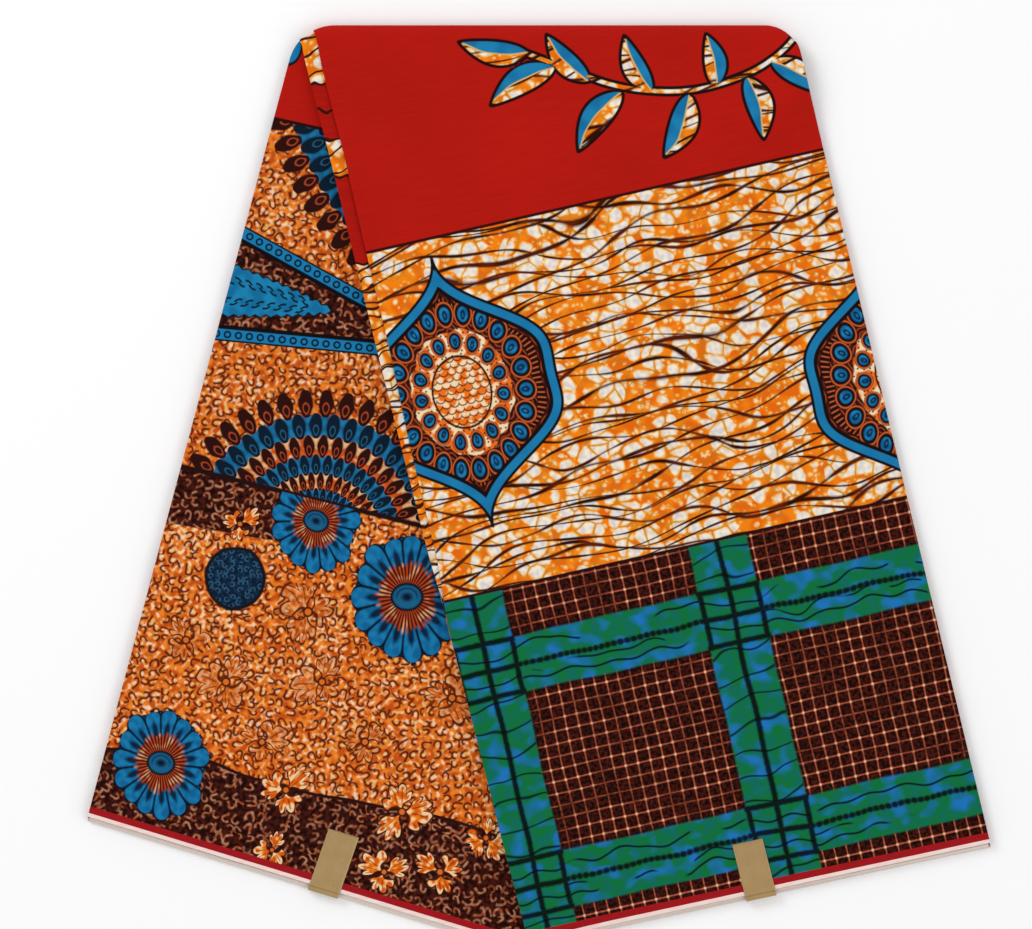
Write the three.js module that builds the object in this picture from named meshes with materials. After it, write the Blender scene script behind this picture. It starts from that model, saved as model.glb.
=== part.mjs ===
// A length of wax-print cotton, folded in panels into a flat bundle and folded over once more, lying on a surface.
// Millimetres, +Z up, +Y towards the top fold. The origin is under the middle of the bounding box, on the surface.
//
// The bundle has two legs. Both hang from one fold line at the top: the back leg leans to the left and lies on the
// surface, and the front leg leans to the right, lies on the back leg where they cross, and eases down to the surface
// past the back leg's right edge.

import * as THREE from 'three';
import { mergeVertices } from 'three/addons/utils/BufferGeometryUtils.js';

// ---- sizes ---------------------------------------------------------------------------------------------------------
const WALL = 1.0;            // cloth wall of an outer layer
const GAP = 0.3;             // clearance between pieces
const STACK = 5.0;           // hidden layers of one leg, pressed flat
const LABEL_WALL = 0.6;      // paper label
const FOLD_Y = 303.35;       // top fold line
const FOLD_LEFT = -155.5;    // fold line's ends, before its corners are rounded
const FOLD_RIGHT = 164.9;
const LEFT_CORNER_R = 30;    // rounding of the fold's two corners
const RIGHT_CORNER_R = 23.5;
const LEFT_ARC_USED = 0.55;  // share of each corner that the bend itself goes round
const RIGHT_ARC_USED = 0.72;
const BEND_DEPTH = 8.0;      // how far the bend rounds off, in plan
const BEND_DEPTH_END = 2.2;  // the same at its two ends
const LOBES = 4;             // ridges that the folded layers show at an edge
const LOBE_DEPTH = 0.9;
const STRIP_WIDTH = 18.0;    // second fold, from its edge to where it is lost under the flap
const STRIP_END_Y = -150;    // below this the flap's edge covers it

const BACK_HEM = { left: [-293.3, -213.6], right: [3.1, -303.35] };
const FRONT_HEM = { left: [-5.4, -294.9], right: [293.3, -230.6] };

// Left side of the front leg, from the fold down: x of the second fold's edge and of the flap's edge at each y.
const FRONT_LEFT_SIDE = [
  { y: 291.5, fold: -154.2, flap: -144.2 },
  { y: 214.3, fold: -134.3, flap: -124.7 },
  { y: 156.5, fold: -120.2, flap: -111.7 },
  { y: 92.8, fold: -104.6, flap: -96.3 },
  { y: 34.3, fold: -90.0, flap: -84.0 },
  { y: -37.2, fold: -71.9, flap: -66.9 },
  { y: -134.7, fold: -46.6, flap: -43.9 },
  { y: -230.0, fold: -22.4, flap: -21.0 },
  { y: -294.9, fold: -5.4, flap: -4.6 },
];

// How the front leg comes down past the back leg's right edge: q is the distance past that edge, under and over are the
// heights of its lower and upper surface above where they are on the surface itself.
const LAP = STACK + WALL + 2 * GAP;
const EASE = [
  { q: -14, under: LAP, over: LAP },
  { q: 0, under: LAP, over: LAP - 0.5 },
  { q: 7, under: 4.9, over: 4.6 },
  { q: 14, under: 2.4, over: 2.5 },
  { q: 23, under: 0.6, over: 0.8 },
  { q: 34, under: 0, over: 0 },
];

// Near the fold the bend still holds the leg up, so there the table starts this much further out, fading over this length.
const HELD_OUT = 24;
const HELD_LENGTH = 80;
// The same round the back leg's lower right corner, where the front leg's corner lies just over it.
const CORNER_OUT = 16;
const CORNER_REACH = 75;

// Labels, each held by the middle of its foot on the hem: across is its share of the hem's length.
const LABELS = [
  { name: 'label_front', across: 0.5015, width: 20.0, length: 37.5, turn: 14.2 },
  { name: 'label_back', across: 0.517, width: 20.5, length: 41.5, turn: -19.0 },
];

// ---- helpers -------------------------------------------------------------------------------------------------------
const lerp = (a, b, t) => a + (b - a) * t;
const mix2 = (p, q, t) => [lerp(p[0], q[0], t), lerp(p[1], q[1], t)];
const sub2 = (p, q) => [p[0] - q[0], p[1] - q[1]];
const unit2 = (v) => { const l = Math.hypot(v[0], v[1]) || 1; return [v[0] / l, v[1] / l]; };
const rad = (deg) => (deg * Math.PI) / 180;

// The value of column `key` at `x`, in a table sorted by `by`.
function lookup(table, by, key, x) {
  const up = table[1][by] > table[0][by];
  for (let i = 1; i < table.length; i++) {
    const a = table[i - 1], b = table[i];
    if (up ? x <= b[by] : x >= b[by]) return lerp(a[key], b[key], Math.min(1, Math.max(0, (x - a[by]) / (b[by] - a[by]))));
  }
  return table[table.length - 1][key];
}

// A closed solid from a block of points at(i, j, k), of which only the outer skin is used.
function blockGeometry(ni, nj, nk, at) {
  const ids = new Map(), positions = [], index = [];
  const id = (i, j, k) => {
    const key = (i * 1000 + j) * 1000 + k;
    if (!ids.has(key)) { ids.set(key, positions.length / 3); positions.push(...at(i, j, k)); }
    return ids.get(key);
  };
  const quad = (a, b, c, d) => index.push(a, b, c, a, c, d);
  const face = (n, m, v) => {
    for (let p = 0; p < n - 1; p++) for (let r = 0; r < m - 1; r++) quad(v(p, r), v(p + 1, r), v(p + 1, r + 1), v(p, r + 1));
  };
  face(ni, nj, (p, r) => id(p, r, nk - 1));
  face(nj, ni, (p, r) => id(r, p, 0));
  face(nj, nk, (p, r) => id(ni - 1, p, r));
  face(nk, nj, (p, r) => id(0, r, p));
  face(nk, ni, (p, r) => id(r, nj - 1, p));
  face(ni, nk, (p, r) => id(p, 0, r));
  let volume = 0;
  const P = (n) => new THREE.Vector3(positions[3 * n], positions[3 * n + 1], positions[3 * n + 2]);
  for (let n = 0; n < index.length; n += 3) volume += P(index[n]).dot(P(index[n + 1]).cross(P(index[n + 2])));
  if (volume < 0) for (let n = 0; n < index.length; n += 3) [index[n + 1], index[n + 2]] = [index[n + 2], index[n + 1]];
  const geometry = new THREE.BufferGeometry();
  geometry.setAttribute('position', new THREE.Float32BufferAttribute(positions, 3));
  geometry.setIndex(index);
  const merged = mergeVertices(geometry, 1e-4);
  merged.computeVertexNormals();
  return merged;
}

function mesh(name, geometry, colour, roughness) {
  const m = new THREE.Mesh(geometry, new THREE.MeshStandardMaterial({ color: colour, roughness, metalness: 0 }));
  m.name = name;
  return m;
}

// ---- plan of the bend ----------------------------------------------------------------------------------------------
const backSide = unit2(sub2(BACK_HEM.left, [FOLD_LEFT, FOLD_Y]));
const frontSide = unit2(sub2(FRONT_HEM.right, [FOLD_RIGHT, FOLD_Y]));

// A rounded corner between the fold line and a side: centre, and the angles of its normals at the two tangent points.
function corner(x, side, r, sign) {
  const turn = Math.PI / 2 - Math.asin(Math.min(1, Math.abs(side[0])));  // how far the outline turns here
  const tangent = r * Math.tan(turn / 2);
  const centre = [x - sign * tangent, FOLD_Y - r];
  return { centre, r, at: (share) => {
    const a = Math.PI / 2 - sign * turn * share;
    return { p: [centre[0] + r * Math.cos(a), centre[1] + r * Math.sin(a)], n: [Math.cos(a), Math.sin(a)] };
  } };
}
const leftCorner = corner(FOLD_LEFT, backSide, LEFT_CORNER_R, -1);
const rightCorner = corner(FOLD_RIGHT, frontSide, RIGHT_CORNER_R, 1);

// Columns across the cloth. across is the share of the width at the hems, edge the outline's point at the fold, n its
// outward direction and depth how far the bend rounds off there. The second column carries the step of the second fold.
const columns = [];
{
  const topLeft = leftCorner.at(0).p[0], topRight = rightCorner.at(0).p[0];
  const stops = [
    { corner: leftCorner, share: LEFT_ARC_USED, across: 0 },
    { corner: leftCorner, share: 0.24, across: (STRIP_WIDTH + 0.6) / 305 },
    { corner: leftCorner, share: 0.20, across: (STRIP_WIDTH + 2.2) / 305 },
    { corner: leftCorner, share: 0.0, across: 0.105 },
  ];
  const steps = 12;
  for (let i = 1; i < steps; i++) stops.push({ x: lerp(topLeft, topRight, i / steps), across: lerp(0.105, 0.94, i / steps) });
  stops.push({ corner: rightCorner, share: 0.0, across: 0.94 });
  stops.push({ corner: rightCorner, share: 0.36, across: 0.972 });
  stops.push({ corner: rightCorner, share: RIGHT_ARC_USED, across: 1 });
  for (const s of stops) {
    const at = s.corner ? s.corner.at(s.share) : { p: [s.x, FOLD_Y], n: [0, 1] };
    const used = s.corner === leftCorner ? s.share / LEFT_ARC_USED : s.corner === rightCorner ? s.share / RIGHT_ARC_USED : 0;
    const depth = lerp(BEND_DEPTH, BEND_DEPTH_END, used);
    columns.push({ across: s.across, edge: at.p, n: at.n, depth, start: [at.p[0] - at.n[0] * depth, at.p[1] - at.n[1] * depth] });
  }
}
const LAST = columns.length - 1;

// ---- plan of the two legs ------------------------------------------------------------------------------------------
// Distance of a point past the back leg's right edge.
const backRightTop = columns[LAST].start;
const backRightDir = unit2(sub2(BACK_HEM.right, backRightTop));
const fade = (distance, reach) => Math.min(1, Math.max(0, 1 - distance / reach));
const held = (p) => HELD_OUT * fade(FOLD_Y - p[1], HELD_LENGTH) + CORNER_OUT * fade(Math.hypot(...sub2(p, BACK_HEM.right)), CORNER_REACH);
const past = (p) => (p[0] - backRightTop[0]) * -backRightDir[1] + (p[1] - backRightTop[1]) * backRightDir[0] - held(p);

// Left edge of the front leg at share s of its length, for the second fold or for the flap.
function frontLeft(s, key) {
  const y = lerp(key === 'flap' ? FRONT_LEFT_SIDE[0].y : columns[0].start[1], FRONT_HEM.left[1], s);
  return [lookup(FRONT_LEFT_SIDE, 'y', key, y), y];
}
// Right edge of the front leg: it leaves the bend, goes round the rest of the corner, and runs straight to the hem.
function sidePath(start, arc, from, hem) {
  const points = [start];
  for (const share of [lerp(from, 1, 0.35), lerp(from, 1, 0.7), 1]) points.push(arc.at(share).p);
  points.push(hem);
  const lengths = [0];
  for (let i = 1; i < points.length; i++) lengths.push(lengths[i - 1] + Math.hypot(...sub2(points[i], points[i - 1])));
  const total = lengths[lengths.length - 1];
  return (s) => {
    const want = s * total;
    for (let i = 1; i < points.length; i++) {
      if (want <= lengths[i] + 1e-9) return mix2(points[i - 1], points[i], (want - lengths[i - 1]) / (lengths[i] - lengths[i - 1]));
    }
    return hem;
  };
}
const frontRight = sidePath(columns[LAST].start, rightCorner, RIGHT_ARC_USED, FRONT_HEM.right);
const backLeft = sidePath(columns[0].start, leftCorner, LEFT_ARC_USED, BACK_HEM.left);

// A point of a leg in plan, on column i at share s from the bend to the hem.
function frontPlan(i, s) {
  if (i === 0) return frontLeft(s, 'fold');
  if (i === LAST) return frontRight(s);
  const c = columns[i];
  const straight = mix2(c.start, mix2(FRONT_HEM.left, FRONT_HEM.right, c.across), s);
  if (c.across > 0.09) return straight;
  // The first columns keep their distance from the curved left edge.
  const edge = frontLeft(s, 'fold');
  const atFold = sub2(c.start, frontLeft(0, 'fold'));
  const atHem = sub2(mix2(FRONT_HEM.left, FRONT_HEM.right, c.across), frontLeft(1, 'fold'));
  return [edge[0] + lerp(atFold[0], atHem[0], s), edge[1] + lerp(atFold[1], atHem[1], s)];
}
function backPlan(i, s) {
  if (i === 0) return backLeft(s);
  return mix2(columns[i].start, mix2(BACK_HEM.left, BACK_HEM.right, columns[i].across), s);
}

// Rows down the front leg, for each column: some on the overlap, one at each line of the EASE table, and some beyond it.
// The rows crowd together where a column reaches its hem, or the bend, before or after a line.
const OVERLAP_ROWS = 8, BEYOND_ROWS = 6, LEAST = 0.0045;
const ROWS = OVERLAP_ROWS + EASE.length + BEYOND_ROWS;
const SIDE_STOPS = [0, 0.012, 0.024, 0.036];  // rows round the corner at the fold
function frontRows(i) {
  const find = (q) => {
    let lo = 0, hi = 1;
    if (past(frontPlan(i, 1)) < q) return 1.2;
    if (past(frontPlan(i, 0)) > q) return 0;
    for (let n = 0; n < 40; n++) { const m = (lo + hi) / 2; if (past(frontPlan(i, m)) < q) lo = m; else hi = m; }
    return (lo + hi) / 2;
  };
  const lines = EASE.map((e) => find(e.q));
  const rows = [];
  for (let j = 0; j < OVERLAP_ROWS; j++) rows.push(Math.min(lines[0], 1) * (j / OVERLAP_ROWS));
  for (const l of lines) rows.push(l);
  const last = Math.min(lines[lines.length - 1], 1);
  for (let j = 1; j <= BEYOND_ROWS; j++) rows.push(lerp(last, 1, j / BEYOND_ROWS));
  rows[0] = 0; rows[ROWS - 1] = 1;
  for (let j = 1; j < ROWS; j++) rows[j] = Math.max(rows[j], rows[j - 1] + LEAST);
  for (let j = ROWS - 1; j >= 0; j--) rows[j] = Math.min(rows[j], 1 - LEAST * (ROWS - 1 - j));
  return rows;
}
const frontRowTable = columns.map((_, i) => frontRows(i));
const BACK_ROWS = [0, 0.015, 0.03, 0.045, 0.2, 0.4, 0.6, 0.8, 1];
const BEND_STEPS = 8;

// ---- heights -------------------------------------------------------------------------------------------------------
const under = (p) => lookup(EASE, 'q', 'under', past(p));
const over = (p) => lookup(EASE, 'q', 'over', past(p));
const TOP = LAP + STACK + GAP + WALL;         // top of the front flap over the back leg
const MID = TOP / 2;                          // height of the bend's middle

// A point of the bend on column i, at angle a from the top, on a surface with the given semi-axes.
function bendPoint(i, a, depth, height, mid) {
  const c = columns[i];
  const reach = Math.max(0.15, depth) * Math.sin(a);
  return [c.start[0] + c.n[0] * reach, c.start[1] + c.n[1] * reach, mid + height * Math.cos(a)];
}

// ---- folded_layers: one U-shaped solid, from the front hem round the bend to the back hem ----------------------------
const LEVELS = 2 * LOBES;
const lobe = (k) => (k % 2 ? 0 : -LOBE_DEPTH);
const hidden = [];   // rows of the block: where each lies
for (let j = ROWS - 1; j >= 0; j--) hidden.push({ part: 'front', row: j });
for (let n = 1; n < BEND_STEPS; n++) hidden.push({ part: 'bend', a: (Math.PI * n) / BEND_STEPS });
hidden.push({ part: 'close' });
for (const s of BACK_ROWS) hidden.push({ part: 'back', s });

const STRIP_ROWS = frontRowTable[0].filter((s) => frontPlan(0, s)[1] > STRIP_END_Y).length;
const isStep = (i, row) => i <= 1 && row < STRIP_ROWS;   // columns and rows under the second fold
function hiddenPoint(i, j, k) {
  const h = hidden[j], w = k / LEVELS;        // w: 0 on the inside of the U, 1 on its outside
  if (h.part === 'front') {
    const s = frontRowTable[i][h.row], p = frontPlan(i, s);
    const low = under(p), high = over(p) + STACK - (isStep(i, h.row) ? WALL + GAP : 0);
    return [p[0], p[1], lerp(low, high, w)];
  }
  if (h.part === 'bend') {
    const c = columns[i];
    return bendPoint(i, h.a, lerp(0.5, c.depth - WALL - 2.5 * GAP, w), lerp((WALL + 2 * GAP) / 2, MID - WALL - GAP, w), lerp(STACK + (WALL + 2 * GAP) / 2, MID, w));
  }
  if (h.part === 'close') {
    // End of the bend: the outside is still inside the flap's wall.
    return [columns[i].start[0], columns[i].start[1], lerp(STACK, WALL + GAP, w)];
  }
  const p = backPlan(i, Math.max(h.s, 0.003));
  return [p[0], p[1], lerp(STACK, 0, w)];
}
const lastRow = hidden.length - 1;
function hiddenSkin(i, j, k) {
  const p = hiddenPoint(i, j, k);
  const push = (q) => {
    const d = unit2([p[0] - q[0], p[1] - q[1]]);
    p[0] += d[0] * lobe(k); p[1] += d[1] * lobe(k);
  };
  if (hidden[j].part === 'front' || hidden[j].part === 'back') {
    if (i === 0) push(hiddenPoint(3, j, k));
    if (i === LAST) push(hiddenPoint(LAST - 3, j, k));
  }
  if (j === 0) push(hiddenPoint(i, 5, k));
  if (j === lastRow) push(hiddenPoint(i, lastRow - 2, k));
  return p;
}
const foldedLayers = blockGeometry(columns.length, hidden.length, LEVELS + 1, hiddenSkin);

// ---- front_flap: outer layer of the front leg, over the fold and down to the surface ---------------------------------
const flapRows = [];
for (let j = ROWS - 1; j >= 0; j--) flapRows.push({ part: 'front', row: j });
for (let n = 1; n <= BEND_STEPS; n++) flapRows.push({ part: 'bend', a: (Math.PI * n) / BEND_STEPS });
const FLAP_FIRST = 2;  // columns 0 and 1 belong to the second fold
function flapPoint(i, j, k) {
  const f = flapRows[j], c = i + FLAP_FIRST - 1;
  if (f.part === 'front') {
    const s = frontRowTable[Math.max(c, 0)][f.row];
    const p = i === 0 ? frontLeft(frontRowTable[0][f.row], 'flap') : frontPlan(c, s);
    return [p[0], p[1], over(p) + STACK + GAP + k * WALL];
  }
  const depth = columns[Math.max(c, 0)].depth;
  const height = MID - WALL + k * WALL;
  const at = (n) => bendPoint(n, f.a, columns[n].depth - WALL + k * WALL, height, MID);
  if (i > 0) return at(c);
  // The flap's free edge in the bend keeps its place between the first columns.
  const A = at(0), B = at(2), e = frontLeft(0, 'flap'), a0 = columns[0].start, b0 = columns[2].start;
  const share = Math.min(0.8, Math.max(0.2, (e[0] - a0[0]) / (b0[0] - a0[0])));
  return [lerp(A[0], B[0], share), lerp(A[1], B[1], share), lerp(A[2], B[2], share)];
}
const frontFlap = blockGeometry(columns.length - FLAP_FIRST + 1, flapRows.length, 2, flapPoint);

// ---- second_fold: strip that peeks out along the flap's left edge ----------------------------------------------------
const STRIP_COLUMNS = [0, 0.05, 0.55, 0.94];
function stripPoint(i, j, k) {
  const row = STRIP_ROWS - 1 - j;
  const share = (n) => (row ? frontRowTable[n][row] : lerp(frontRowTable[n][0], frontRowTable[n][1], 0.12));
  const a = frontPlan(0, share(0)), b = frontPlan(1, share(1));
  const p = mix2(a, b, STRIP_COLUMNS[i]);
  const droop = i === 0 ? 0.25 * (1 - k) : 0;
  return [p[0], p[1], over(a) + STACK - WALL + k * WALL - (i === 0 ? 0.12 * k : 0) + droop];
}
const secondFold = blockGeometry(STRIP_COLUMNS.length, STRIP_ROWS, 2, stripPoint);

// ---- back_flap: outer layer of the back leg, up to the inner fold ----------------------------------------------------
const BACK_FLAP_ROWS = [0.004, 0.015, 0.03, 0.045, 0.2, 0.4, 0.6, 0.8, 1];
function backFlapPoint(i, j, k) {
  const p = backPlan(i, BACK_FLAP_ROWS[j]);
  return [p[0], p[1], STACK + GAP + k * WALL];
}
const backFlap = blockGeometry(columns.length, BACK_FLAP_ROWS.length, 2, backFlapPoint);

// ---- labels: a plain paper rectangle on the hem, with its foot turned down over the hem's edge -------------------------
function labelGeometry(label) {
  const hem = label.name === 'label_front' ? FRONT_HEM : BACK_HEM;
  const foot = mix2(hem.left, hem.right, label.across);
  const along = [-Math.sin(rad(label.turn)), Math.cos(rad(label.turn))];   // up the cloth
  const side = unit2(sub2(hem.right, hem.left));
  const z = STACK + 2 * GAP + WALL;
  const TURN_DOWN = 5.2;
  // Section of the label along its length: distance up the cloth, and height, of its lower and upper face.
  const section = [
    { low: [-GAP, z - TURN_DOWN], high: [-GAP - LABEL_WALL, z - TURN_DOWN] },
    { low: [-GAP, z], high: [-GAP - LABEL_WALL, z + LABEL_WALL * 0.5] },
    { low: [0.3, z], high: [0.3, z + LABEL_WALL] },
    { low: [label.length / 2, z], high: [label.length / 2, z + LABEL_WALL] },
    { low: [label.length, z], high: [label.length, z + LABEL_WALL] },
  ];
  return blockGeometry(3, section.length, 2, (i, j, k) => {
    const [d, h] = k ? section[j].high : section[j].low;
    const x = (i / 2 - 0.5) * label.width;
    return [foot[0] + side[0] * x + along[0] * d, foot[1] + side[1] * x + along[1] * d, h];
  });
}

// ---- the object ------------------------------------------------------------------------------------------------------
const cloth = new THREE.Group();
cloth.add(mesh('front_flap', frontFlap, 0xb01810, 0.75));
cloth.add(mesh('second_fold', secondFold, 0xc89060, 0.75));
cloth.add(mesh('back_flap', backFlap, 0xd07a22, 0.75));
cloth.add(mesh('folded_layers', foldedLayers, 0x8a3a20, 0.8));
for (const label of LABELS) cloth.add(mesh(label.name, labelGeometry(label), 0xa28656, 0.6));

export default cloth;
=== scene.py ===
import math

import bpy
import numpy as np
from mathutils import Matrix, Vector


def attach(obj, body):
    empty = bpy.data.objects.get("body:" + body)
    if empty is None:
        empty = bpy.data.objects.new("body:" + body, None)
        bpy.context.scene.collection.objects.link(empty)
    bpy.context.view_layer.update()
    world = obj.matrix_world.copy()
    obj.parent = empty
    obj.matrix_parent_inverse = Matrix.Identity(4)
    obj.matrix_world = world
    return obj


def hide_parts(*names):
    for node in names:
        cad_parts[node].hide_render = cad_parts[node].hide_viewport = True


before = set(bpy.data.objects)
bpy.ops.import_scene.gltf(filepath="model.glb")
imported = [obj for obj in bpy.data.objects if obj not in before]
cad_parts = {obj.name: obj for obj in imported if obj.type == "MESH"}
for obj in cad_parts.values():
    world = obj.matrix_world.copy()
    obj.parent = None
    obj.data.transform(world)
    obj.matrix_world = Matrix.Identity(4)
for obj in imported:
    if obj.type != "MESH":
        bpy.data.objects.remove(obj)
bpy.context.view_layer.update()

# ======================================================================================================================
# Sizes. Millimetres here, metres in the meshes. Prints are laid out in "dots" of 0.65 mm: x to the right, y downwards.
# ======================================================================================================================
DOT = 0.65
CENTRE_X, CENTRE_Y = 538.84, 492.7        # the dot over the origin
EYE = (-14.85, 18.33, 3730.0)             # camera

WALL, GAP, STACK = 1.0, 0.3, 5.0
FOLD_Y, FOLD_LEFT, FOLD_RIGHT = 303.35, -155.5, 164.9
LEFT_R, RIGHT_R, LEFT_USED, RIGHT_USED = 30.0, 23.5, 0.55, 0.72
BEND_DEPTH, BEND_DEPTH_END = 8.0, 2.2
LAP = STACK + WALL + 2 * GAP
TOP = LAP + STACK + GAP + WALL
MID = TOP / 2
BACK_L, BACK_R = np.array([-293.3, -213.6]), np.array([3.1, -303.35])
FRONT_L, FRONT_R = np.array([-5.4, -294.9]), np.array([293.3, -230.6])
SIDE_Y = np.array([291.5, 214.3, 156.5, 92.8, 34.3, -37.2, -134.7, -230.0, -294.9])
SIDE_FOLD = np.array([-154.2, -134.3, -120.2, -104.6, -90.0, -71.9, -46.6, -22.4, -5.4])
SIDE_FLAP = np.array([-144.2, -124.7, -111.7, -96.3, -84.0, -66.9, -43.9, -21.0, -4.6])
EASE_Q = np.array([-14, 0, 7, 14, 23, 34.0])
EASE_UNDER = np.array([LAP, LAP, 4.9, 2.4, 0.6, 0])
EASE_OVER = np.array([LAP, LAP - 0.5, 4.6, 2.5, 0.8, 0])
HELD_OUT, HELD_LENGTH, CORNER_OUT, CORNER_REACH = 24, 80, 16, 75
HEM_BACKOFF = 3.4                          # how far the top layer's hem stands back from the outermost one
ROLL = 0.45                                # half the thickness of a folded edge

rng = np.random.default_rng(20260)


def lerp(a, b, t):
    return a + (b - a) * t


def unit(v):
    v = np.asarray(v, float)
    return v / np.maximum(np.linalg.norm(v, axis=-1, keepdims=True), 1e-9)


def smooth01(t):
    t = np.clip(t, 0, 1)
    return t * t * (3 - 2 * t)


def smoothed(x, values, sigma, grid):
    """A table, linear between its rows, rounded off over sigma."""
    fine = np.interp(grid, x, values)
    step = grid[1] - grid[0]
    k = np.arange(-int(4 * sigma / step), int(4 * sigma / step) + 1)
    w = np.exp(-0.5 * (k * step / sigma) ** 2)
    w /= w.sum()
    slope0, slope1 = fine[1] - fine[0], fine[-1] - fine[-2]
    pad = len(k) // 2
    padded = np.concatenate([fine[0] + slope0 * np.arange(-pad, 0), fine, fine[-1] + slope1 * np.arange(1, pad + 1)])
    return np.convolve(padded, w, "valid")


# ---- plan of the bend --------------------------------------------------------------------------------------------------
def corner(x, side, r, sign):
    turn = math.pi / 2 - math.asin(min(1.0, abs(side[0])))
    tangent = r * math.tan(turn / 2)
    centre = np.array([x - sign * tangent, FOLD_Y - r])

    def at(share):
        a = math.pi / 2 - sign * turn * np.asarray(share, float)
        n = np.stack([np.cos(a), np.sin(a)], -1)
        return centre + r * n, n
    return at


left_corner = corner(FOLD_LEFT, unit(BACK_L - [FOLD_LEFT, FOLD_Y]), LEFT_R, -1)
right_corner = corner(FOLD_RIGHT, unit(FRONT_R - [FOLD_RIGHT, FOLD_Y]), RIGHT_R, 1)
TOP_LEFT, TOP_RIGHT = left_corner(0.0)[0][0], right_corner(0.0)[0][0]


def bend_column(t):
    """The fold's edge, its outward direction, the bend's depth and where the legs start, at share t of the cloth's width."""
    t = np.asarray(t, float)
    share_l = np.interp(t, [0, 0.06098, 0.06623, 0.105], [LEFT_USED, 0.24, 0.20, 0])
    share_r = np.interp(t, [0.94, 0.972, 1.0], [0, 0.36, RIGHT_USED])
    pl, nl = left_corner(share_l)
    pr, nr = right_corner(share_r)
    xm = lerp(TOP_LEFT, TOP_RIGHT, (t - 0.105) / (0.94 - 0.105))
    pm = np.stack([xm, np.full_like(t, FOLD_Y)], -1)
    nm = np.stack([np.zeros_like(t), np.ones_like(t)], -1)
    isl, isr = (t < 0.105)[..., None], (t > 0.94)[..., None]
    edge = np.where(isl, pl, np.where(isr, pr, pm))
    n = np.where(isl, nl, np.where(isr, nr, nm))
    used = np.where(t < 0.105, share_l / LEFT_USED, np.where(t > 0.94, share_r / RIGHT_USED, 0.0))
    depth = lerp(BEND_DEPTH, BEND_DEPTH_END, used)
    return edge, n, depth, edge - n * depth[..., None]


START_0, START_1 = bend_column(0.0)[3], bend_column(1.0)[3]


def side_path(start, at, used, hem):
    pts = [start] + [at(lerp(used, 1, k))[0] for k in np.linspace(0.1, 1, 10)] + [hem]
    pts = np.array(pts)
    lengths = np.concatenate([[0], np.cumsum(np.linalg.norm(np.diff(pts, axis=0), axis=1))])

    def path(s):
        w = np.asarray(s) * lengths[-1]
        return np.stack([np.interp(w, lengths, pts[:, 0]), np.interp(w, lengths, pts[:, 1])], -1)
    return path


front_right = side_path(START_1, right_corner, RIGHT_USED, FRONT_R)
back_left = side_path(START_0, left_corner, LEFT_USED, BACK_L)
_y = np.arange(-330, 330, 1.0)
_fold_x = smoothed(SIDE_Y[::-1], SIDE_FOLD[::-1], 9, _y)
_flap_x = smoothed(SIDE_Y[::-1], SIDE_FLAP[::-1], 9, _y)
# beyond the table's ends the edges run straight on
_fold_x = np.where(_y > 291.5, -154.2 + (_y - 291.5) * -0.25, _fold_x)
_flap_x = np.where(_y > 291.5, -144.2 + (_y - 291.5) * -0.25, _flap_x)
# low down the flap covers the second fold
_flap_x = lerp(_flap_x, _fold_x, 0.85 * smooth01((-40 - _y) / 55))


def front_left(s, which):
    y = lerp(START_0[1] if which == "fold" else 292.0, FRONT_L[1], np.asarray(s, float))
    return np.stack([np.interp(y, _y, _fold_x if which == "fold" else _flap_x), y], -1)


def front_plan(t, s):
    """A point of the front leg, at share t of its width and share s from the bend to the hem."""
    t, s = np.broadcast_arrays(np.asarray(t, float), np.asarray(s, float))
    start = bend_column(t)[3]
    hem = FRONT_L + (FRONT_R - FRONT_L) * t[..., None]
    p = start + (hem - start) * s[..., None]
    w = smooth01(1 - t / 0.16)[..., None]
    straight = START_0 + (FRONT_L - START_0) * s[..., None]
    p = p + w * (front_left(s, "fold") - straight)
    w = (np.clip(1 - (1 - t) / 0.07, 0, 1) ** 2)[..., None]
    straight = START_1 + (FRONT_R - START_1) * s[..., None]
    return p + w * (front_right(s) - straight)


def back_plan(t, s):
    t, s = np.broadcast_arrays(np.asarray(t, float), np.asarray(s, float))
    start = bend_column(t)[3]
    hem = BACK_L + (BACK_R - BACK_L) * t[..., None]
    p = start + (hem - start) * s[..., None]
    w = (np.clip(1 - t / 0.07, 0, 1) ** 2)[..., None]
    straight = START_0 + (BACK_L - START_0) * s[..., None]
    return p + w * (back_left(s) - straight)


BACK_RIGHT_DIR = unit(BACK_R - START_1)


def past(p):
    fade = lambda d, r: np.clip(1 - d / r, 0, 1)
    held = HELD_OUT * fade(FOLD_Y - p[..., 1], HELD_LENGTH) + CORNER_OUT * fade(np.linalg.norm(p - BACK_R, axis=-1), CORNER_REACH)
    return (p[..., 0] - START_1[0]) * -BACK_RIGHT_DIR[1] + (p[..., 1] - START_1[1]) * BACK_RIGHT_DIR[0] - held


_q = np.arange(-60, 90, 0.5)
_under = smoothed(EASE_Q, EASE_UNDER, 2.2, _q)
_over = smoothed(EASE_Q, EASE_OVER, 2.6, _q)


def under(p):
    return np.interp(past(p), _q, _under)


def over(p):
    return np.interp(past(p), _q, _over)


def bend_point(t, a, depth_less, height, mid):
    edge, n, depth, start = bend_column(t)
    reach = np.maximum(0.15, depth - depth_less) * np.sin(a)
    xy = start + n * reach[..., None]
    return np.concatenate([xy, (mid + height * np.cos(a))[..., None]], -1)


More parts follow.
